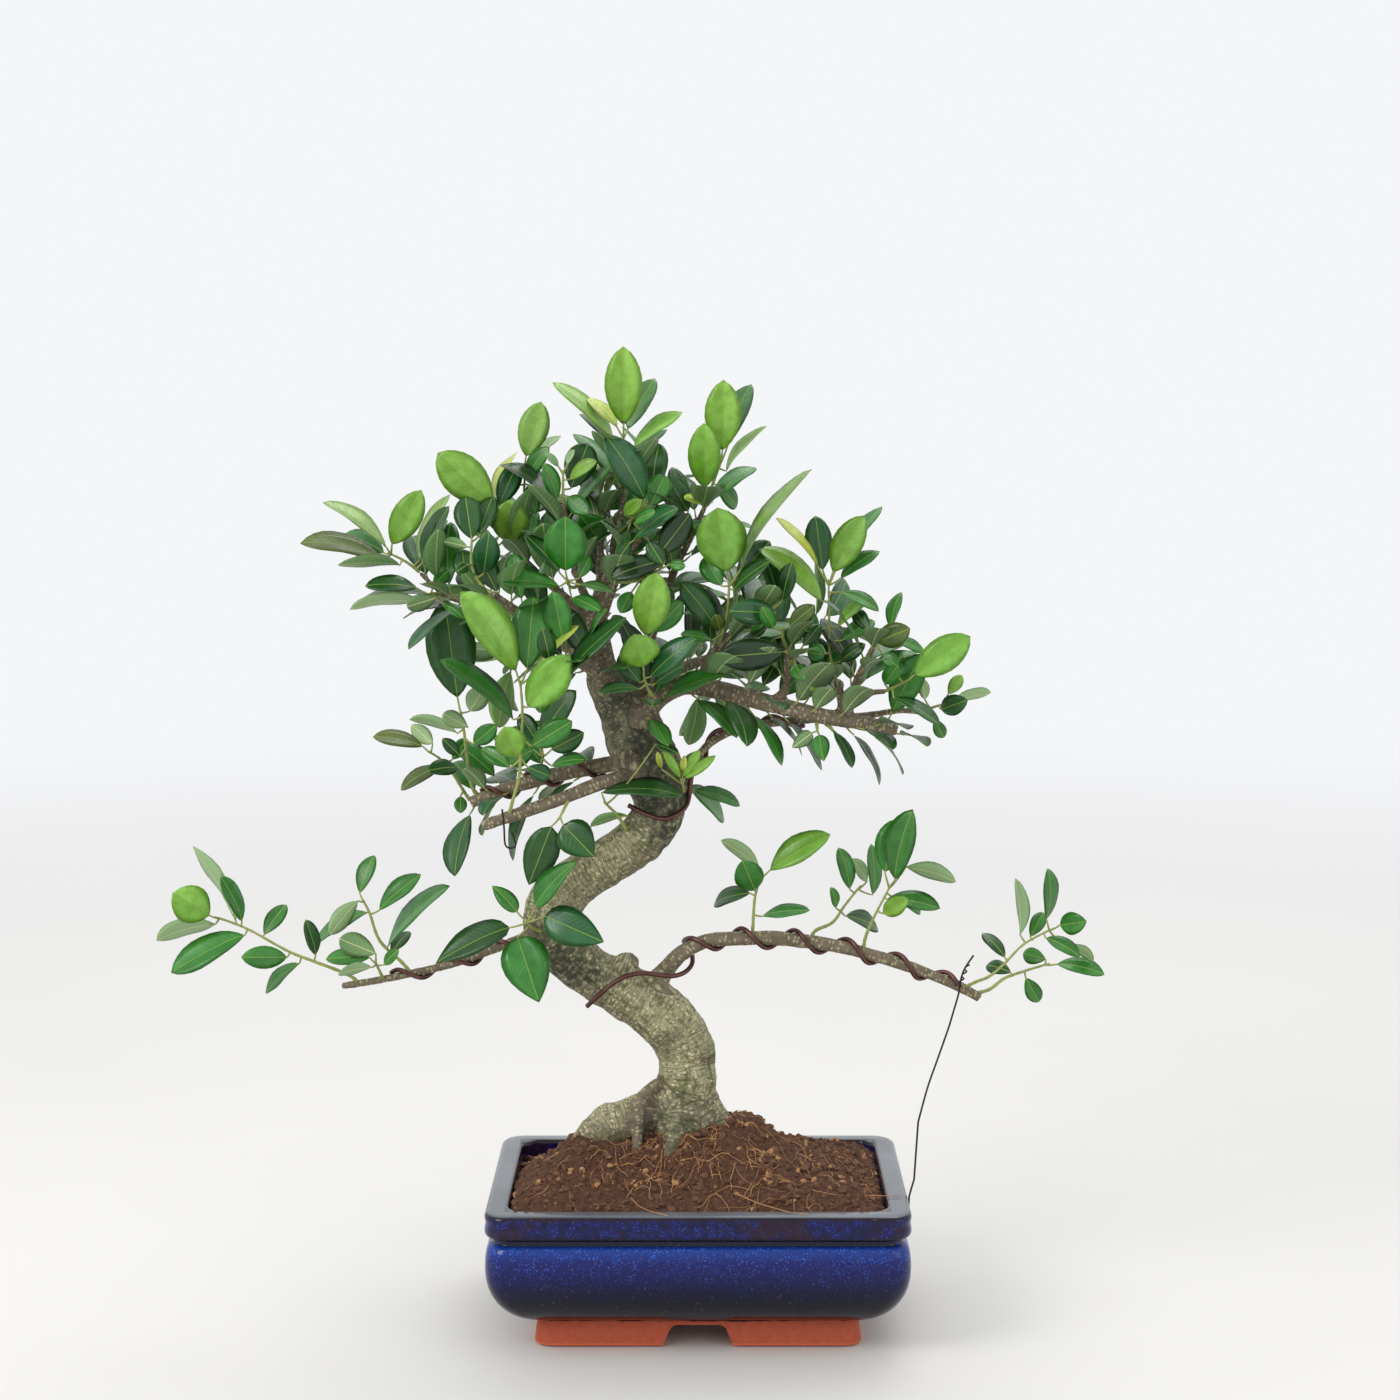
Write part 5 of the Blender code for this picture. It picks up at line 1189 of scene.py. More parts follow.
# Annealed steel: dark oxide skin on bare metal
steel, tree, shader = new_material("dark_annealed_steel_wire")
place = add_node(tree, "TexCoord").node.outputs["Object"]
tone = add_node(tree, "TexNoise", place, 1 / (4 * MM), 3.0)
tree.links.new(
    add_node(tree, "Mix", tone, linear("#232226"), linear("#4A4442"), data_type="RGBA"),
    shader.inputs["Base Color"],
)
shader.inputs["Metallic"].default_value = 1.0
tree.links.new(
    add_node(tree, "Math", tone, 0.2, 0.38, operation="MULTIPLY_ADD"), shader.inputs["Roughness"]
)
tree.links.new(
    add_node(
        tree, "Bump", Height=add_node(tree, "TexNoise", place, 1 / (0.5 * MM), 3.0), Distance=0.04 * MM
    ),
    shader.inputs["Normal"],
)
TIE_RADIUS = 0.5 * MM
tie_route = [
    (143.5, 191, -18), (139, 184, -17.6), (137, 178, -17.4), (136, 171, -17.4), (133, 160, -19),
    (130.6, 151.7, -20), (125, 135, -24), (120, 120, -28), (115.4, 102, -31),
]
tie_path = [standing(*point) for point in smoothed(tie_route, 6)]
hook_y = POT_CENTRE.y - 32 * MM
tie_path += [
    Vector((pot_high.x + out * MM, hook_y, height * MM))
    for out, height in (
        (3.6, 80.3), (2.2, 75.6), (1.1, 71.3), (0.9, 66.0), (0.8, 61.6), (-0.4, 59.8), (-2.6, 59.7),
    )
]
twist = []
for step in range(26):
    share = step / 25
    angle = math.tau * 3.2 * share
    centre = standing(140.5 - 4.5 * share, 186 - 12 * share, -18.6)
    twist.append((centre + Vector((math.cos(angle), math.sin(angle), 0)) * 0.9 * MM, 0.42 * MM))
tie_wire = curve_piece("tie", [[(point, TIE_RADIUS) for point in tie_path], twist], 8)
placed_piece(tie_wire, "tied_wire", [steel], ["tie_down_wire"])
scrap_route = [
    (-101.5, 268, -29), (-100.6, 259, -29), (-100, 249.5, -28), (-97, 247.6, -27), (-94.6, 249.5, -27),
    (-96.6, 256, -26),
]
scrap_path = [standing(*point) for point in smoothed(scrap_route, 6)]
scrap = curve_piece("scrap", [[(point, TIE_RADIUS) for point in scrap_path]], 8)
placed_piece(scrap, "wire_scrap", [steel], ["wire_clip"])


# --- Leafy shoots ---------------------------------------------------------------------------------
# Young green stems with leathery ficus leaves on short stalks, each leaf folded along its midrib.
# A stem is a list of (x, z, depth). A leaf is (blade's foot x, z, tip x, z, width seen, how far its
# tip leans back or, below zero, forward, and 1 or -1 where the upper or lower face shows). The word
# before them gives each leaf's tone in turn: dark, Darker, mid, bright, yellow, light, pale, olive,
# grey-green (e) or blue-green (g).

SHOOTS = {
    "bend": ("gmdmm", [(-80, 203, -6), (-87, 206, -22), (-89, 209, -27)], [
        (-80, 212, -49, 198, 20, -12, 1), (-94, 201, -83, 166, 25, -16, 1),
        (-98, 206, -137, 187, 15, -5, 1), (-85, 217, -63, 241, 12, -10, 1), (-94, 214, -107, 228, 9, 10, 1),
    ]),
    "left_front_hanging": ("dd", [(-66, 275, -20), (-70, 267, -27), (-71.5, 264, -28)], [
        (-70, 260, -54, 243, 19, -8, 1), (-76, 259, -88, 228, 18, 6, 1),
    ]),
    "under_bend_right": ("dmd", [(-37, 257, -11), (-42, 265, -19), (-48, 271, -22)], [
        (-50, 277, -8, 275, 10, -9, 1), (-36, 265, -56, 259, 5, 6, -1), (-22, 302, -10, 297, 5, -10, 1),
    ]),
    "behind_upper_bend": ("mmd", [(-12, 272, 6), (-4, 276, 18)], [
        (-2, 278, 22, 270, 8, 6, 1), (-5, 280, 14, 262, 9, 26, 1), (-8, 284, 1, 299, 7, 14, 1),
    ]),
    "low_right_1": ("mpbmd", [(28, 199, -6), (28.5, 206, -7), (29.6, 222, -9), (33, 233, -9)], [
        (29.6, 225, 23, 241, 15.5, -17, 1), (32, 237, 12, 252, 8, 8, -1), (37, 236, 68.5, 255, 14, -6, 1),
        (33, 212, 58, 215, 7, -12, 1), (27, 224, 8, 218, 9, 22, 1),
    ]),
    "low_right_2": ("mpmmd", [
        (58, 198, -10), (61, 204, -5), (70, 208.5, 0), (76, 217, 2), (83.7, 227, 3),
    ], [
        (79, 226, 73, 248, 9, 4, 1), (88, 230, 80, 242, 7, 16, -1), (72, 216, 69, 227, 5, -6, 1),
        (91, 223, 90, 250, 8, 8, 1), (77, 212, 94, 205, 9, 22, 1),
    ]),
    "low_right_3": ("mmpmbm", [
        (86, 193, -11), (87, 200, -15), (89.5, 206.8, -18), (92.5, 213.3, -20), (100, 228, -22),
    ], [
        (97, 235, 103, 263, 17, 4, 1), (102, 231, 111, 268, 16, -12, 1), (108, 238, 134, 230, 9, -4, -1),
        (98, 221, 126, 216, 10, -10, 1), (96, 213, 109, 221, 10, -18, 1), (106, 220, 116, 213, 5, 6, 1),
    ]),
    "low_right_tip": ("pmmmmpd", [
        (138, 173.6, -9), (145, 177, -12), (152, 180, -12), (160, 187, -12), (169.7, 197, -11),
        (184, 205, -9),
    ], [
        (168, 202, 165, 232, 7, 4, -1), (181.6, 210, 181.6, 237, 8, -6, 1),
        (173, 201, 179.7, 214, 8, 12, 1), (188, 207, 202, 209, 12, -16, 1),
        (181, 200.5, 199, 190.5, 8, -8, 1), (190, 197, 206, 188, 6, 10, -1), (160, 190, 148, 203, 7, 14, 1),
    ]),
    "low_right_tip_side": ("mmmd", [
        (143, 170.6, -8), (152, 173, -2), (160, 179, 2), (171, 183, 4), (182, 186.4, 4),
    ], [
        (181, 189, 169, 192, 9, 12, 1), (187, 186.6, 212, 181, 9, -4, 1), (171, 179, 178, 166, 9, 8, 1),
        (163, 182, 150, 186, 8, 18, 1),
    ]),
    "low_left_tip": ("bpmpmmmdm", [
        (-177, 176.5, -9), (-183, 181, -12), (-200.6, 188, -14), (-214, 193.5, -15), (-234.5, 205, -16),
        (-250, 211, -16),
    ], [
        (-254, 212, -273, 224, 20, -12, 1), (-240, 209, -262, 249, 7, 6, -1),
        (-237, 209, -248, 233, 9, -8, 1), (-251, 208, -282, 199, 10, 10, -1),
        (-236, 202, -275, 182, 15, -6, 1), (-214, 190, -238, 190, 12, -14, 1),
        (-208, 187, -226, 171, 7, 6, 1), (-199, 191, -204, 210, 8, -4, 1), (-226, 202, -214, 218, 9, 14, 1),
    ]),
    "low_left_upper": ("pmmmmd", [
        (-149.6, 181.5, -9), (-154, 187, -5), (-165.7, 198.7, -2), (-170.7, 213, -1), (-174, 220, -1),
    ], [
        (-177, 220, -192, 202, 10, -10, -1), (-172, 214, -200, 197, 8, 8, 1),
        (-166, 215, -144, 234, 10, 4, 1), (-162, 196, -129, 228, 9, -8, 1),
        (-176, 224, -168, 244, 9, 10, 1), (-160, 192, -150, 204, 7, 16, 1),
    ]),
    "low_left_lower": ("mpem", [(-164, 178, -9), (-166, 182.6, -14), (-168, 187, -18)], [
        (-171, 190, -194, 189, 9, -6, 1), (-170, 185, -188, 181, 6, -12, -1),
        (-168, 192, -187, 200, 13, -10, -1), (-164, 186, -156, 194, 6, -8, 1),
    ]),
    "mid_right_hanging": ("em", [(61, 315, -13), (61.4, 311, -20), (61.6, 309, -22)], [
        (59, 308, 48.5, 300, 8, 4, -1), (62.5, 307, 65, 293, 9, -3, 1),
    ]),
    "far_left": ("lbeoeld", [(-143, 391, -6), (-147, 394.4, -7), (-152, 397.6, -8), (-158, 400.5, -9)], [
        (-159.5, 404, -192, 427, 8, -4, 1), (-157, 405, -141.5, 433, 16, -10, 1),
        (-161, 401, -181, 411, 11, 14, 1), (-162, 398, -204, 406, 11, -10, 1),
        (-153, 395, -185, 395, 7, -20, -1), (-143.4, 397, -127, 431, 7, 12, 1),
        (-141.5, 396, -127.5, 425, 9, -4, 1),
    ]),
    "far_left_low": ("ddpmm", [(-131, 379, -7), (-135, 380, -15), (-139, 379.6, -19)], [
        (-144, 383, -171, 384, 9, -5, 1), (-134, 378, -150, 373, 9, -14, -1),
        (-140, 376, -179, 372, 7, 4, -1), (-136, 384, -128, 392, 8, 14, 1),
        (-131, 375, -120, 367, 6, -10, 1),
    ]),
    "left_crown": ("ddmgddm", [(-104, 379, -25), (-111, 384, -24), (-116, 394, -22), (-116, 408, -20)], [
        (-116, 408, -119, 430, 15, 12, 1), (-112, 410, -105, 430, 11, 18, 1),
        (-118, 404, -131, 407, 6, 4, -1), (-110, 390, -107, 411, 14, -12, 1),
        (-119, 387, -121, 403, 13, 12, 1), (-118, 395, -124, 391, 6, -12, 1),
        (-113, 381, -120, 372, 8, -12, 1),
    ]),
    "left_crown_bright": ("bbgyb", [(-95, 403, 8), (-98, 408.6, 5), (-101.6, 415, 2), (-104, 422, 0)], [
        (-105, 426, -133, 452, 22, -9, 1), (-95.5, 406, -97, 428, 19, -18, 1),
        (-102, 425, -92, 447, 12, 9, 1), (-105, 428, -92, 453, 5, 18, 1), (-103, 404, -124, 419, 7, -12, 1),
    ]),
    "left_crown_top": ("lmpmmmd", [
        (-87, 395, 10), (-90, 401, 15), (-90.5, 416, 17), (-89, 432, 16), (-88.5, 446, 15),
    ], [
        (-88, 450, -80, 478, 16, -5, 1), (-88, 439, -76, 455, 9, -10, 1), (-84, 448, -70, 461, 5, 10, 1),
        (-87, 436, -83, 421, 8, -3, 1), (-93, 436, -99, 447, 8, 12, 1), (-92, 420, -104, 430, 9, 22, 1),
        (-86, 421, -74, 430, 9, 20, 1),
    ]),
    "inner_left_top": ("pdmbmp", [(-68.3, 424, -7), (-69, 430, -8), (-69, 442, -9)], [
        (-71, 445, -78, 452, 4, -4, 1), (-65, 434, -56, 457, 17, 13, 1), (-72, 428, -78.5, 447, 9, -4, 1),
        (-66, 438.5, -51.5, 448, 7, -10, 1), (-67, 429.5, -56, 421, 10, -12, 1),
        (-67, 446, -63.5, 454, 4, 6, 1),
    ]),
    "inner_left_round": ("mmmemd", [
        (-60.6, 385, -2), (-64, 383, -12), (-66.6, 384.6, -22), (-67, 387, -26),
    ], [
        (-68, 391.5, -68, 419.5, 22, -12, 1), (-71, 384, -101, 386.6, 9, -12, 1),
        (-61, 388, -55.5, 399, 7, 8, 1), (-61, 385, -44, 381, 5, -8, 1), (-65, 378, -50, 371, 8, -16, 1),
        (-71, 391, -88, 410, 10, 8, 1),
    ]),
    "centre_top": ("yllbmm", [(-50.5, 418, 13), (-51, 424, 11), (-50, 435, 9)], [
        (-51, 438, -61, 450, 5, -4, 1), (-48, 439, -41.5, 441.6, 4, -12, 1),
        (-48.4, 429, -42, 440, 4, -16, 1), (-55, 430, -51, 446, 7, 8, 1),
        (-50, 407, -60.5, 420, 17, -24, 1), (-46, 423, -34, 430, 8, 14, 1),
    ]),
    "crown_tip": ("beybb", [(-38, 449, 5), (-38.2, 455, 5), (-38, 460, 4.5)], [
        (-38, 466, -38, 506, 19.5, -8, 1), (-36, 464, -22, 490, 12, 12, 1), (-41, 465, -56.5, 480, 7, 7, 1),
        (-43, 459, -74, 488, 9, -5, 1), (-33, 455, -8, 473, 8, 3, 1),
    ]),
    "crown_tip_low": ("gmbdm", [(-41, 411, 4), (-36, 416, -4), (-31, 420.6, -9), (-29, 423, -10)], [
        (-27, 428, -47.5, 461, 17, -10, 1), (-24, 425, -17, 441, 13, 6, 1), (-38, 420, -29, 428, 8, -12, 1),
        (-24, 430, -20, 457, 14, 18, 1), (-36, 412, -40, 400, 8, -12, 1),
    ]),
    "right_crown_inner": ("gdmd", [(-31, 406, -13.4), (-30, 411, -20), (-29, 413, -22)], [
        (-33, 408, -10, 424, 9, -8, 1), (-26, 408, -18, 395, 9, -6, 1), (-33, 416, -22, 422, 6, -14, 1),
        (-35, 406, -42, 396, 8, -12, 1),
    ]),
    "right_crown_low": ("DmDdmd", [(-42, 386, -7), (-34, 386, -15), (-25, 389, -21), (-19, 393, -24)], [
        (-17, 397, -45, 388, 12, -10, 1), (-15, 395, -6.5, 394, 6, -6, 1), (-20, 400, -4, 421, 15, -3, 1),
        (-24, 384, -12, 376, 9, 4, 1), (-34, 381, -40, 370, 9, -8, 1), (-30, 393, -34, 399, 6, 14, 1),
    ]),
    "right_crown_mid": ("ddm", [(-5, 406, 12), (-8, 412, 6), (-6, 418, 2)], [
        (-5, 422, -16, 440, 14, -4, 1), (-8, 424, -13, 445, 10, 14, 1), (-2, 414, 9, 404, 9, 14, 1),
    ]),
    "right_crown_top": ("beblym", [(3.6, 425, 8), (5.6, 431, 8), (9, 440, 7), (12, 448, 6)], [
        (12.4, 453, 13, 489, 19, -8, 1), (15, 456, 27, 487, 13, 12, 1), (3.4, 434, 3, 467, 17, -16, 1),
        (14, 443, 35, 466, 5, 6, 1), (3, 427, -7, 429, 5, -12, 1), (9, 436, 20, 424, 9, 18, 1),
    ]),
    "centre_big": ("blddmodm", [
        (9.5, 350, -9), (12.6, 359, -13), (15, 369, -16.5), (15.8, 381, -21), (16, 385, -23),
    ], [
        (14.5, 391, 10, 424, 26, -9, 1), (21, 392, 58, 444, 6, -5, 1), (20, 388, 37, 407, 14, 14, 1),
        (18, 382, 37, 397, 8, -12, 1), (12, 384, 3, 399, 12, 12, 1), (11.4, 361, 9, 369, 8, -8, 1),
        (10, 362, -9, 386, 14, 4, 1), (7, 356, -9, 359, 6, -8, 1),
    ]),
    "centre_low": ("gddm", [(28, 366, -10), (34, 370, -17), (38, 372, -20)], [
        (40, 370, 16, 371, 14, -14, 1), (41, 376, 35, 397, 9, 4, 1), (43, 376, 48, 396, 10, -8, 1),
        (36, 366, 27, 358, 7, 8, 1),
    ]),
    "front_bright": ("bmm", [(-23.6, 346, 9), (-26, 350, -6), (-28, 352, -20), (-28, 354, -26)], [
        (-27, 358, -21, 391, 19, -8, 1), (-23, 360, -8, 376, 12, 6, 1), (-34, 356, -44, 369, 8, 10, 1),
    ]),
    "front_heart": ("bggge", [(-22.8, 326, -25), (-26, 331, -32), (-28, 337, -36)], [
        (-28, 342, -33, 359, 21, -14, 1), (-30, 334, -41, 348, 10, 3, 1), (-25, 337, -1, 357, 13, -6, 1),
        (-23, 333, -7, 343, 8, 8, 1), (-30, 331, -51, 329, 6, -10, 1),
    ]),
    "left_bright": ("bmbmybmgm", [
        (-98, 264, -23), (-96.4, 271, -28), (-92.6, 285, -33), (-91.6, 300, -38), (-90.6, 318, -43),
        (-91.6, 334, -47),
    ], [
        (-93.5, 340, -122, 381, 20, -8, 1), (-88, 341, -84.5, 379, 20, 9, 1),
        (-88, 321, -66, 348, 20, -14, 1), (-95, 315, -133, 346, 11, -6, 1), (-84, 340, -61, 364, 6, 4, 1),
        (-94, 295, -100, 311, 16, -14, 1), (-86, 301, -65, 314, 13, -7, 1), (-88, 290, -76, 285, 9, 8, 1),
        (-97, 290, -112, 300, 9, 10, 1),
    ]),
    "left_dark": ("dpppmd", [
        (-113, 273.4, 20), (-117, 280, 16), (-119.6, 296, 8), (-121, 310, 2), (-122.6, 319, -2),
    ], [
        (-124, 326, -130, 377, 26, 2, 1), (-118, 319, -110, 332, 12, 10, -1),
        (-119, 311, -132, 318, 9, -12, -1), (-124, 308, -149, 315, 6, 8, -1),
        (-116, 302, -104, 312, 10, -8, 1), (-123, 296, -132, 305, 7, -6, 1),
    ]),
    "left_mid_tip": ("opodmm", [
        (-117.4, 271.6, 20), (-121, 277, 24), (-127, 287, 22), (-133, 294, 18), (-139, 298, 14),
    ], [
        (-142, 301, -168, 306, 9, -6, 1), (-137, 302, -148, 312, 9, 8, -1),
        (-132, 291, -154, 278, 8, -8, 1), (-124, 290, -140, 288, 9, -20, 1),
        (-123, 275, -123, 266, 7, -6, 1), (-127, 294, -119, 305, 8, 14, 1),
    ]),
    "left_inner": ("ddmmd", [(-79, 284.6, 20), (-81, 290, 14), (-80, 296, 6)], [
        (-81, 304, -63, 330, 14, -14, 1), (-76, 299, -59, 308, 12, -10, 1), (-76, 291, -58, 294, 7, -12, 1),
        (-85, 299, -98, 292, 10, 6, 1), (-83, 303, -92, 318, 10, 8, 1),
    ]),
    "front_left_long": ("dmd", [(-68.5, 346.6, -43), (-73, 344, -47), (-74.5, 339, -49)], [
        (-70.5, 334, -37, 368, 10, -12, 1), (-77, 334, -82, 318, 9, 10, 1),
        (-76, 345, -80, 362, 10, -12, 1),
    ]),
    "right_dark": ("odm", [(45.5, 352, -14), (43.6, 357, -20), (44, 362, -23)], [
        (47, 363, 60, 374, 10, -4, 1), (40, 357, 30, 350, 10, 8, 1), (39, 362, 33, 373, 8, -12, 1),
    ]),
    "right_horizontal": ("Ddmm", [(46, 343, -13), (49.6, 346, -18), (51, 349, -22)], [
        (45, 350, 10, 347, 17, -8, 1), (54, 353, 63, 364, 8, 8, 1), (50, 343, 55, 336, 9, -12, 1),
        (56, 350, 65, 348, 10, -4, 1),
    ]),
    "right_tall": ("bgybmmmbmmdpdpl", [
        (71.4, 334.6, -12), (69.5, 341, -12), (67.6, 352, -12), (67.4, 368, -12), (67, 386, -12),
    ], [
        (69, 391, 85, 420, 16, -10, 1), (64, 392, 60, 420, 14, 8, 1), (62, 394, 40, 419, 5, -4, 1),
        (64, 376, 31, 403, 12, -9, 1), (71, 394, 94, 425, 8, 18, 1), (73, 388, 93, 402, 8, 8, 1),
        (73, 381, 93, 371, 7, -6, 1), (71.6, 363, 89, 379, 7, -7, 1), (74, 356, 91, 366, 9, 10, 1),
        (62, 362, 53, 370, 9, 8, 1), (73, 345, 86, 354, 8, -9, 1), (66, 349, 60, 352, 6, -16, -1),
        (63, 343, 61, 358, 10, 10, 1), (61, 336, 51, 325, 9, 4, -1), (66, 337, 58, 330, 7, -14, 1),
    ]),
    "right_round": ("ommmd", [(90.3, 352.6, -20), (92, 356, -22), (93, 358, -23)], [
        (92, 355, 109, 362, 13, -12, 1), (99, 362, 104, 381, 7, 12, 1), (99, 357, 117, 350, 6, 6, 1),
        (95, 349, 103, 342, 8, -6, 1), (88, 361, 80, 372, 8, 10, 1),
    ]),
    "right_far": ("bmdm", [(96.4, 329.6, -21), (101, 331.6, -24), (107, 334.6, -26)], [
        (111, 337.6, 140, 358, 18, -6, 1), (96, 333, 103, 343, 9, -12, 1),
        (101, 326.6, 125, 312, 7, -10, 1), (103, 338, 111, 348, 8, 12, 1),
    ]),
    "thin_right_tip": ("dbppm", [(116, 318.2, 2), (121, 321, 0), (126, 322.6, -2)], [
        (125, 320, 139, 325, 11, -16, 1), (129, 328, 136, 338, 7, 6, 1), (131, 324, 151, 329, 6, 12, -1),
        (117, 325, 116, 336, 6, 8, -1), (122, 315, 127, 305, 7, 10, 1),
    ]),
}

# Shoots at the back of the crown: stem, leaves, blade length, bearing of the first leaf in degrees
SPIRAL_SHOOTS = {
    "rear_left_end": ([(-91, 363.4, 62), (-99, 371, 68), (-108, 380, 72)], 7, 34, 20),
    "rear_left_low": ([(-84, 360, 54), (-90, 352, 62), (-97, 344, 68)], 6, 32, 200),
    "rear_right_end": ([(43, 352.8, 69.5), (53, 357, 74), (63, 364, 76)], 7, 34, 10),
    "rear_right_mid": ([(22, 350, 60), (24, 362, 66), (23, 376, 69)], 6, 34, 120),
    "rear_right_low": ([(-1, 344, 46), (0, 338, 58), (3, 330, 68)], 6, 32, 60),
    "rear_top_end": ([(-31, 412.6, 51), (-26, 422, 57), (-22, 434, 60)], 7, 34, 40),
    "rear_top_mid": ([(-42, 391, 38), (-50, 402, 47), (-56, 414, 52)], 6, 33, 100),
}
# Leaf tones are partly the leaves' own colour, young leaves lighter and old ones darker, and partly painted
# light and shade: the bright, yellow and light tones stand in for lit and backlit leaves, the dark and
# Darker ones for leaves in shade
TONES = {
    "D": "#11300F", "d": "#1A4A15", "m": "#2B701E", "b": "#6FA032", "y": "#A8B546", "l": "#7BA045",
    "p": "#84A274", "o": "#4C5C22", "e": "#43703A", "g": "#1B5526",
}
SPIRAL_TONES = "mdmbmdgm"
# Darker tones for the inner leaves: painted shade inside the crown
SHADED_INNER_TONES = "dmdgmDdm"
LOW_SHOOTS = ("bend", "left_front_hanging", "mid_right_hanging")
STEM_RADIUS = 0.9 * MM
STALK_RADIUS = 0.55 * MM
LEAF_ARCH = 0.07
LEAF_KEEL = 0.8 * MM
LEAF_SLENDERNESS = 0.48
LEAF_ROLLS = (0, 18, -18, 36, -36)
LEAF_SHIFTS = (0, 4, -4, 8, -8, 13, -13, 19, -19, 26, -26, 34, -34)

# One blade, modelled once: a sheet 10 by 4 faces, extruded, its margin drawn together to an edge and
# each end to a point. x runs from -1 at its foot to 1 at its tip, y across, z from 0 on top to -1.
deselected()
bpy.ops.mesh.primitive_grid_add(x_subdivisions=10, y_subdivisions=4, size=2.0)
blade_shape = bpy.context.object
bpy.ops.object.mode_set(mode="EDIT")
bpy.ops.mesh.select_all(action="SELECT")
bpy.ops.mesh.extrude_region_move(TRANSFORM_OT_translate={"value": (0, 0, -1)})
bpy.ops.mesh.select_all(action="DESELECT")
sheet = bmesh.from_edit_mesh(blade_shape.data)
for vertex in sheet.verts:
    vertex.select_set(max(abs(vertex.co.x), abs(vertex.co.y)) > 0.999)
sheet.select_flush(True)
bpy.ops.transform.resize(value=(1, 1, 0), center_override=(0, 0, -0.5))
for end in (-1, 1):
    bpy.ops.mesh.select_all(action="DESELECT")
    sheet = bmesh.from_edit_mesh(blade_shape.data)
    for vertex in sheet.verts:
        vertex.select_set(vertex.co.x * end > 0.999)
    bpy.ops.transform.resize(value=(1, 0, 1), center_override=(end, 0, -0.5))
bpy.ops.mesh.select_all(action="SELECT")
bpy.ops.mesh.remove_doubles(threshold=0.001)
bpy.ops.mesh.normals_make_consistent(inside=False)
bpy.ops.object.mode_set(mode="OBJECT")
blade_rows = [vertex.co.copy() for vertex in blade_shape.data.vertices]


def solid_outline(share):
    """Half width of the plain solid blade."""
    return share**0.9 * (1 - share) ** 0.62 / 0.358


def crown_outline(share):
    """Half width of a crown leaf: widest just past its middle, with a short point."""
    return share**0.85 * (1 - share) ** 0.72 / 0.339


def hanging_outline(share):
    """Half width of a low leaf: widest near its foot, drawn out to a drip tip."""
    return share**0.60 * (1 - share) ** 0.95 / 0.354


def stem_line(stem):
    """The shoot's stem, as its solid stands: from just clear of the wood to its end."""
    curve = [standing(*point) for point in smoothed(stem, 12)]
    clear = STEM_RADIUS + 0.3 * MM
    start = 0
    while start < len(curve) - 3:
        place, normal, _, distance = solid_wood.find_nearest(curve[start])
        if distance >= clear and (curve[start] - place).dot(normal) > 0:
            break
        start += 1
    length = sum((b - a).length for a, b in zip(curve[start:], curve[start + 1 :]))
    count = max(2, round(length / (14 * MM)))
    last = len(curve) - 1
    return curve, start, [curve[round(start + (last - start) * i / count)] for i in range(count + 1)]


def nearest_on(path, point):
    """The place on a stem that is nearest to a point, a little in from each joint."""
    best = None
    for a, b in zip(path, path[1:]):
        along = b - a
        t = min(0.92, max(0.08, (point - a).dot(along) / along.length_squared))
        place = a + along * t
        if best is None or (place - point).length < (best - point).length:
            best = place
    return best


def drawn_leaf(leaf, path, shift, roll):
    """Root, foot, tip, width and upper side of a leaf drawn on the elevation."""
    x, z, tip_x, tip_z, width, lean, shows = leaf
    root = nearest_on(path, standing(x, z, (path[-1].y - POT_CENTRE.y) / MM))
    depth = (root.y - POT_CENTRE.y) / MM
    foot = standing(x, z, depth + 0.25 * (lean + shift))
    tip = standing(tip_x, tip_z, depth + lean + shift)
    along = (tip - foot).normalized()
    length = (tip - foot).length
    to_eye = (EYE - foot).normalized()
    facing = (to_eye - along * along.dot(to_eye)).normalized()
    across = along.cross(facing)
    if across.z < 0:
        across.negate()
    wide = max(width * MM, LEAF_SLENDERNESS * length)
    turn = math.acos(width * MM / wide)
    normal = facing * (shows * math.cos(turn)) + across * math.sin(turn)
    return root, foot, tip, wide, Matrix.Rotation(math.radians(roll), 3, along) @ normal


def spiral_leaf(number, count, path, length, bearing, shift, roll):
    """The same for a leaf that takes its place by number on the spiral round a stem's end."""
    along = (path[-1] - path[-2]).normalized()
    share = number / (count - 1)
    root = path[-1].lerp(path[-2], 0.1 + 0.8 * (1 - share))
    side = along.cross(Vector((0.3, -0.8, 0.2))).normalized()
    out = Matrix.Rotation(math.radians(bearing + 137.5 * number + 1.2 * shift), 3, along) @ side
    spread = math.radians(92 - 62 * share + 0.5 * roll)
    way = along * math.cos(spread) + out * math.sin(spread)
    foot = root + way * 8 * MM
    size = length * MM * (0.78 + 0.3 * ((number * 0.618) % 1.0))
    lower = (way + out * 0.35 - Vector((0, 0, 0.15))).normalized()
    normal = (along - lower * along.dot(lower)).normalized()
    return root, foot, foot + lower * size, LEAF_SLENDERNESS * size, normal


def in_its_solid(leaf, solid):
    """Whether the blade's solid, with its tip and its two sections, stands where this leaf does."""
    _, foot, tip, width, normal = leaf
    along = (tip - foot).normalized()
    length = (tip - foot).length
    corners = [tip]
    for share in (0.36, 0.78):
        middle = foot + along * (length * share) + normal * (4 * LEAF_ARCH * length * share * (1 - share))
        corners.append(middle - along.cross(normal) * 0.5 * width * solid_outline(share))
        corners.append(middle - normal * LEAF_KEEL)
    return sum(solid.find(corner)[2] < 0.1 * MM for corner in corners) >= 4


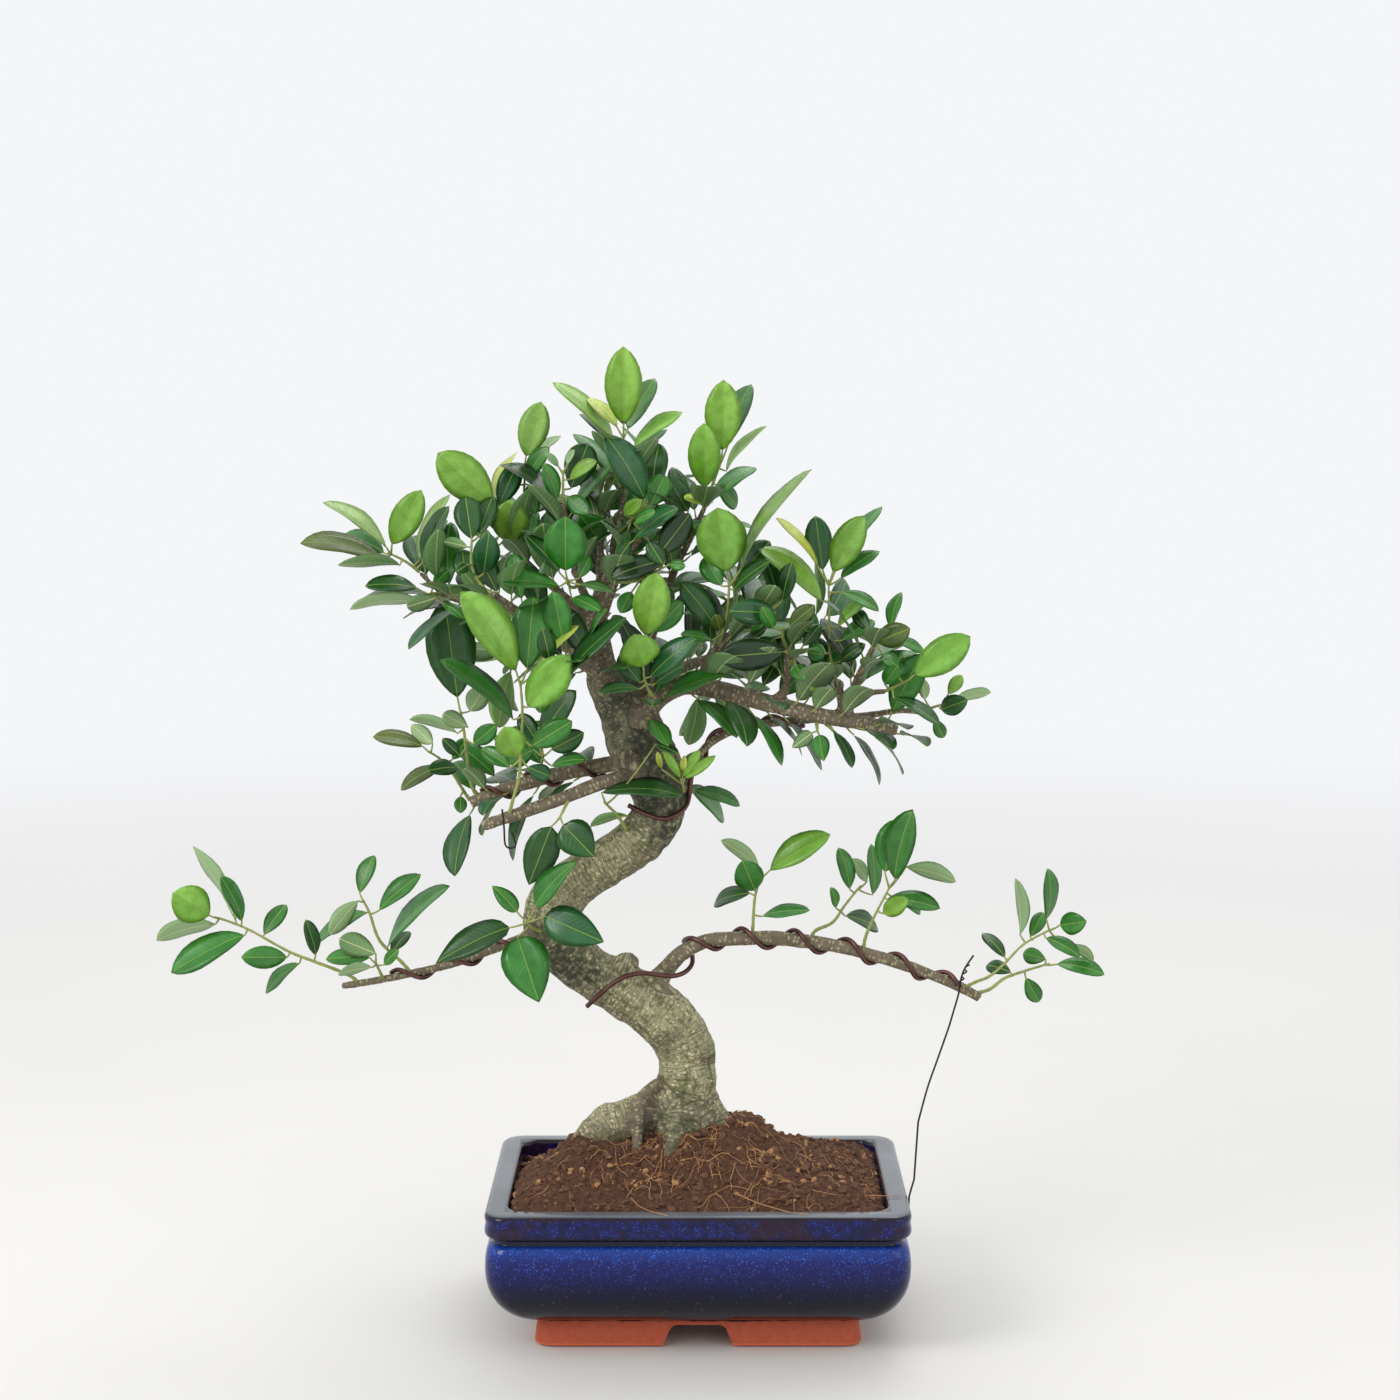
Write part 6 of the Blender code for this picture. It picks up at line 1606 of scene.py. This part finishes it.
def standing_leaves(name, path, count):
    """Each leaf of a shoot, turned aside as its solid is to clear its neighbours."""
    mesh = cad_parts["shoot_" + name].data
    solid = KDTree(len(mesh.vertices))
    for vertex in mesh.vertices:
        solid.insert(vertex.co, vertex.index)
    solid.balance()
    found = []
    for number in range(count):
        if name in SHOOTS:
            place = partial(drawn_leaf, SHOOTS[name][2][number], path)
        else:
            place = partial(spiral_leaf, number, count, path, *SPIRAL_SHOOTS[name][2:])
        tries = (place(shift, roll) for roll in LEAF_ROLLS for shift in LEAF_SHIFTS)
        leaf = next((leaf for leaf in tries if in_its_solid(leaf, solid)), None)
        if leaf:
            found.append((number, leaf))
    return found


def grow_blade(grown, leaf, outline, tone):
    """Adds one blade to a mesh: the modelled sheet, bent, folded and edged for this leaf."""
    _, foot, tip, width, normal = leaf
    along = (tip - foot).normalized()
    length = (tip - foot).length
    side = along.cross(normal)
    fold = dice.uniform(0.10, 0.26)
    wave = dice.uniform(0.02, 0.07)
    beat = dice.uniform(0, 6.28)
    hang = dice.uniform(-0.03, 0.05)
    base = len(grown.verts)
    grown.from_mesh(blade_shape.data)
    grown.verts.ensure_lookup_table()
    grown.verts.index_update()
    place_layer = grown.verts.layers.float_vector["blade_place"]
    tone_layer = grown.verts.layers.float_color["blade_tone"]
    for row, vertex in zip(blade_rows, grown.verts[base:]):
        share = 0.5 + 0.5 * row.x
        share -= 0.055 * math.sin(math.tau * share)
        half = 0.5 * width * (outline(share) if 0.001 < share < 0.999 else 0.0)
        across = math.copysign(abs(row.y) ** 0.9, row.y)
        lift = 4 * LEAF_ARCH * length * share * (1 - share)
        lift += fold * abs(across) * half
        lift += wave * half * across**2 * math.sin(9 * share + beat + 1.3 * across)
        lift -= hang * length * math.sin(math.pi * share) * share
        skin = 0.22 * MM * (row.z + 0.5) * 2 * (1 - 0.5 * across**2)
        keel = -0.22 * MM * (1 - share) * max(0.0, 1 - 3 * abs(across)) if row.z < -0.9 else 0.0
        place = foot + along * (length * share) + side * (half * across)
        place += normal * (lift - 0.5 * LEAF_KEEL + skin + keel)
        vertex.co = [min(max(c, low), high) for low, c, high in zip(cad_box[0], place, cad_box[1])]
        vertex[place_layer] = (length * share / MM, half * across / MM, half / MM)
        vertex[tone_layer] = tone
    grown.faces.ensure_lookup_table()
    for face in grown.faces[-len(blade_shape.data.polygons) :]:
        face.smooth = True
        heights = [blade_rows[vertex.index - base].z for vertex in face.verts]
        face.material_index = 1 if sum(heights) / len(heights) < -0.5 else 0


def leafy_piece(grown, stems, name):
    """A piece of the blades in a bmesh and the mesh of their stems, with its three finishes."""
    blades = len(grown.faces)
    grown.from_mesh(stems.data)
    grown.faces.ensure_lookup_table()
    for face in grown.faces[blades:]:
        face.material_index = 2
        face.smooth = True
    bpy.data.objects.remove(stems)
    made = piece_of(grown, name)
    for finish in (upper_leaf, under_leaf, green_stem):
        made.data.materials.append(finish)
    return made


def empty_shoot():
    """A bmesh that keeps each point's place on its blade and the blade's tone."""
    grown = bmesh.new()
    grown.verts.layers.float_vector.new("blade_place")
    grown.verts.layers.float_color.new("blade_tone")
    return grown


def leaf_finish(name, under):
    """Ficus leaf skin: waxy and veined above, paler, duller and with a raised midrib below."""
    made, tree, shader = new_material(name)
    place = add_node(tree, "TexCoord").node.outputs["Object"]
    tone = add_node(tree, "Attribute", attribute_name="blade_tone")
    blade = add_node(tree, "Attribute", attribute_name="blade_place").node.outputs["Vector"]
    axes = add_node(tree, "SeparateXYZ", blade).node
    off_rib = add_node(tree, "Math", axes.outputs["Y"], operation="ABSOLUTE")
    edge = add_node(tree, "Math", axes.outputs["Z"], off_rib, operation="SUBTRACT")
    rib = add_node(tree, "MapRange", off_rib, 0.42, 0.12, interpolation_type="SMOOTHSTEP")
    slant = add_node(tree, "Math", off_rib, -0.85, axes.outputs["X"], operation="MULTIPLY_ADD")
    veins = add_node(
        tree, "Math", add_node(tree, "Math", slant, math.tau / 2.9, operation="MULTIPLY"), operation="SINE"
    )
    veins = add_node(tree, "MapRange", veins, 0.8, 1.0, interpolation_type="SMOOTHSTEP")
    mottle = add_node(tree, "TexNoise", place, 1 / (5 * MM), 3.0)
    if under:
        skin = add_node(tree, "Mix", 0.42, tone, linear("#92B478"), data_type="RGBA")
        skin = add_node(
            tree, "Mix",
            add_node(tree, "Math", veins, 0.25, operation="MULTIPLY"), skin, linear("#B4CC90"),
            data_type="RGBA",
        )
        skin = add_node(tree, "Mix", rib, skin, linear("#CAD39A"), data_type="RGBA")
    else:
        deeper = add_node(tree, "HueSaturation", Color=tone, Value=0.78, Saturation=1.04)
        skin = add_node(
            tree, "Mix",
            add_node(tree, "MapRange", mottle, 0.35, 0.68, interpolation_type="SMOOTHSTEP"), tone, deeper,
            data_type="RGBA",
        )
        # Painted light: one half of each blade, on one side of the midrib fold, is painted lighter, as if
        # that side faced the light
        half = add_node(tree, "MapRange", axes.outputs["Y"], -0.4, 0.4, interpolation_type="SMOOTHSTEP")
        lit = add_node(tree, "HueSaturation", Color=skin, Value=1.36, Saturation=0.95)
        skin = add_node(
            tree, "Mix",
            add_node(tree, "Math", half, 0.7, operation="MULTIPLY"), skin, lit, data_type="RGBA",
        )
        pale = add_node(tree, "HueSaturation", Color=tone, Value=1.7, Saturation=0.85)
        skin = add_node(
            tree, "Mix",
            add_node(tree, "Math", veins, 0.12, operation="MULTIPLY"), skin, pale, data_type="RGBA",
        )
        margin = add_node(
            tree, "Math",
            add_node(tree, "MapRange", edge, 0.35, 0.05, interpolation_type="SMOOTHSTEP"), 0.45,
            operation="MULTIPLY",
        )
        skin = add_node(tree, "Mix", margin, skin, linear("#8FB04E"), data_type="RGBA")
        skin = add_node(
            tree, "Mix",
            add_node(tree, "Math", rib, 0.62, operation="MULTIPLY"), skin, linear("#8FAE4A"),
            data_type="RGBA",
        )
        spots = add_node(
            tree, "MapRange",
            add_node(tree, "TexNoise", place, 1 / (2.2 * MM), 2.0), 0.74, 0.78,
            interpolation_type="SMOOTHSTEP",
        )
        skin = add_node(
            tree, "Mix",
            add_node(tree, "Math", spots, 0.5, operation="MULTIPLY"), skin, linear("#7A6A38"),
            data_type="RGBA",
        )
    tree.links.new(skin, shader.inputs["Base Color"])
    gloss = add_node(tree, "Math", mottle, 0.16, 0.46 if under else 0.24, operation="MULTIPLY_ADD")
    tree.links.new(gloss, shader.inputs["Roughness"])
    raised = add_node(
        tree, "Math", rib, 1.0 if under else -1.0,
        add_node(tree, "Math", veins, -0.22, operation="MULTIPLY"), operation="MULTIPLY_ADD",
    )
    raised = add_node(tree, "Math", mottle, 0.35, raised, operation="MULTIPLY_ADD")
    tree.links.new(add_node(tree, "Bump", Height=raised, Distance=0.22 * MM), shader.inputs["Normal"])
    return made


upper_leaf = leaf_finish("waxy_ficus_leaf_upper_side", False)
under_leaf = leaf_finish("matt_ficus_leaf_underside", True)
# Young green skin that turns brown in specks
green_stem, tree, shader = new_material("young_green_stem")
place = add_node(tree, "TexCoord").node.outputs["Object"]
skin = add_node(
    tree, "Mix",
    add_node(tree, "TexNoise", place, 1 / (6 * MM), 3.0), linear("#6B7A3C"), linear("#A6B060"),
    data_type="RGBA",
)
skin = add_node(
    tree, "Mix",
    add_node(
        tree, "MapRange",
        add_node(tree, "TexNoise", place, 1 / (1.2 * MM), 2.0), 0.62, 0.7, interpolation_type="SMOOTHSTEP",
    ),
    skin, linear("#8A6A44"), data_type="RGBA",
)
tree.links.new(skin, shader.inputs["Base Color"])
shader.inputs["Roughness"].default_value = 0.5
tree.links.new(
    add_node(
        tree, "Bump", Height=add_node(tree, "TexNoise", place, 1 / (0.8 * MM), 3.0), Distance=0.12 * MM
    ),
    shader.inputs["Normal"],
)

solid_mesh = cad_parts["trunk_and_branches"].data
solid_wood = BVHTree.FromPolygons(
    [vertex.co.copy() for vertex in solid_mesh.vertices],
    [tuple(face.vertices) for face in solid_mesh.polygons],
)
taken = []
for name in [*SHOOTS, *SPIRAL_SHOOTS]:
    drawn = name in SHOOTS
    stem = SHOOTS[name][1] if drawn else SPIRAL_SHOOTS[name][0]
    count = len(SHOOTS[name][2]) if drawn else SPIRAL_SHOOTS[name][1]
    curve, start, path = stem_line(stem)
    leaves = standing_leaves(name, path, count)
    stem_run = []
    steps = len(curve) - 1 - max(0, start - 4)
    for step in range(0, steps + 1, 2):
        share = step / steps
        knot = 1 + 0.10 * math.sin(step * 1.9)
        stem_run.append((curve[max(0, start - 4) + step], STEM_RADIUS * (1.15 - 0.5 * share) * knot))
    stem_run.append((curve[-1] + (curve[-1] - curve[-3]).normalized() * 1.5 * MM, 0.25 * MM))
    runs = [stem_run]
    for _, (root, foot, tip, _, normal) in leaves:
        along = (tip - foot).normalized()
        stalk = []
        inner = root.lerp(foot, 0.35) - Vector((0, 0, 0.12 * (foot - root).length))
        for step in range(6):
            t = step / 5
            bend = (1 - t) ** 2 * root + 2 * t * (1 - t) * inner + t**2 * (foot - normal * 0.5 * LEAF_KEEL)
            stalk.append((bend, STALK_RADIUS * (1.15 - 0.35 * t)))
        stalk.append((foot + along * 0.10 * (tip - foot).length, 0.22 * MM))
        runs.append(stalk)
    stems = curve_piece("stems", runs, 6)
    grown = empty_shoot()
    tones = SHOOTS[name][0] if drawn else SPIRAL_TONES
    outline = hanging_outline if name in LOW_SHOOTS else crown_outline
    for number, leaf in leaves:
        shade = linear(TONES[tones[number]])
        vary = dice.uniform(0.86, 1.16)
        tone = (shade[0] * vary * dice.uniform(0.9, 1.12), shade[1] * vary, shade[2] * vary, 1.0)
        grow_blade(grown, leaf, outline, tone)
        taken.append(leaf[1].lerp(leaf[2], 0.5))
    placed_piece(leafy_piece(grown, stems, name), "leafy_" + name, [], ["shoot_" + name])

# Inner leaves: small leaves along the crown's twigs, which close the crown from every side, painted darker
# as painted shade inside the crown
CROWN_TWIGS = [
    "crown_left", "crown_far_left", "crown_rear_left", "crown_inner_left", "crown_centre", "crown_top",
    "crown_right", "crown_far_right", "right_rise_1", "right_rise_2", "right_rise_3", "right_rise_4",
    "rear_left", "rear_right", "rear_top", "front_left", "front_centre", "mid_right", "left_back",
]
INNER_SPACING = 3.0 * MM
inner = empty_shoot()
stalks = []
for twig in CROWN_TWIGS:
    curve = [standing(x, z, depth) for x, z, depth, _ in smoothed(LIMBS[twig], 8)]
    girths = [thickness for *_, thickness in smoothed(LIMBS[twig], 8)]
    travelled = 0.0
    number = 0
    for step in range(len(curve) // 3, len(curve) - 1):
        travelled += (curve[step + 1] - curve[step]).length
        if travelled < INNER_SPACING:
            continue
        travelled = 0.0
        for attempt in range(6):
            number += 1
            along = (curve[step + 1] - curve[step]).normalized()
            side = along.cross(Vector((0.2, 0.9, 0.3))).normalized()
            out = Matrix.Rotation(math.radians(137.5 * number + 25 * attempt), 3, along) @ side
            way = (out + along * 0.7 + Vector((0, 0, 0.55))).normalized()
            root = curve[step] + out * 0.4 * girths[step] * MM
            foot = root + way * 6 * MM
            length = dice.uniform(22, 37) * MM
            lower = (way + out * 0.3 + Vector((0, 0, dice.uniform(-0.5, 0.3)))).normalized()
            tip = foot + lower * length
            normal = (Vector((0, -0.25, 1)) + along * 0.4).normalized()
            normal = (normal - lower * lower.dot(normal)).normalized()
            middle = foot.lerp(tip, 0.5)
            inside = all(
                low + 4 * MM < c < high - 4 * MM for low, c, high in zip(cad_box[0], tip, cad_box[1])
            )
            clear = all((middle - other).length > 8.2 * MM for other in taken)
            off_wood = bark_tree.find_nearest(middle)[3] > 7 * MM and bark_tree.find_nearest(tip)[3] > 4 * MM
            if inside and clear and off_wood:
                break
        else:
            continue
        taken.append(middle)
        shade = linear(TONES[SHADED_INNER_TONES[number % 8]])
        vary = dice.uniform(0.8, 1.15)
        tone = (shade[0] * vary, shade[1] * vary, shade[2] * vary, 1.0)
        width = dice.uniform(0.44, 0.54) * length
        grow_blade(inner, (root, foot, tip, width, normal), crown_outline, tone)
        sag = root.lerp(foot, 0.5) - Vector((0, 0, 0.4 * MM))
        stalks.append([(root, 0.6 * MM), (sag, 0.5 * MM), (foot, 0.42 * MM)])
# A young sprout on the bark of the right bend
for x, z, tip_x, tip_z, width, tone in (
    (-9, 284, -18, 300, 5.0, "b"), (-8, 285, 1, 299, 6.0, "b"), (-7, 284, 9, 296, 5.5, "b"),
    (-19, 289, -21, 298, 3.5, "y"), (-8, 287, -7, 296, 4.0, "y"),
):
    foot = standing(x, z, -24)
    tip = standing(tip_x, tip_z, -29)
    lower = (tip - foot).normalized()
    facing = (EYE - foot).normalized()
    facing = (facing - lower * lower.dot(facing)).normalized()
    grow_blade(inner, (foot, foot, tip, width * MM, facing), crown_outline, linear(TONES[tone]))
    stalks.append([(standing(-7, 277, -14), 0.6 * MM), (standing(-8, 281, -20), 0.5 * MM), (foot, 0.4 * MM)])
inner_stalks = curve_piece("stalks", stalks, 6)
inner_leaves = leafy_piece(inner, inner_stalks, "inner_leaves")
placed_piece(inner_leaves, "inner_leaves", [], [])
bpy.data.objects.remove(blade_shape)
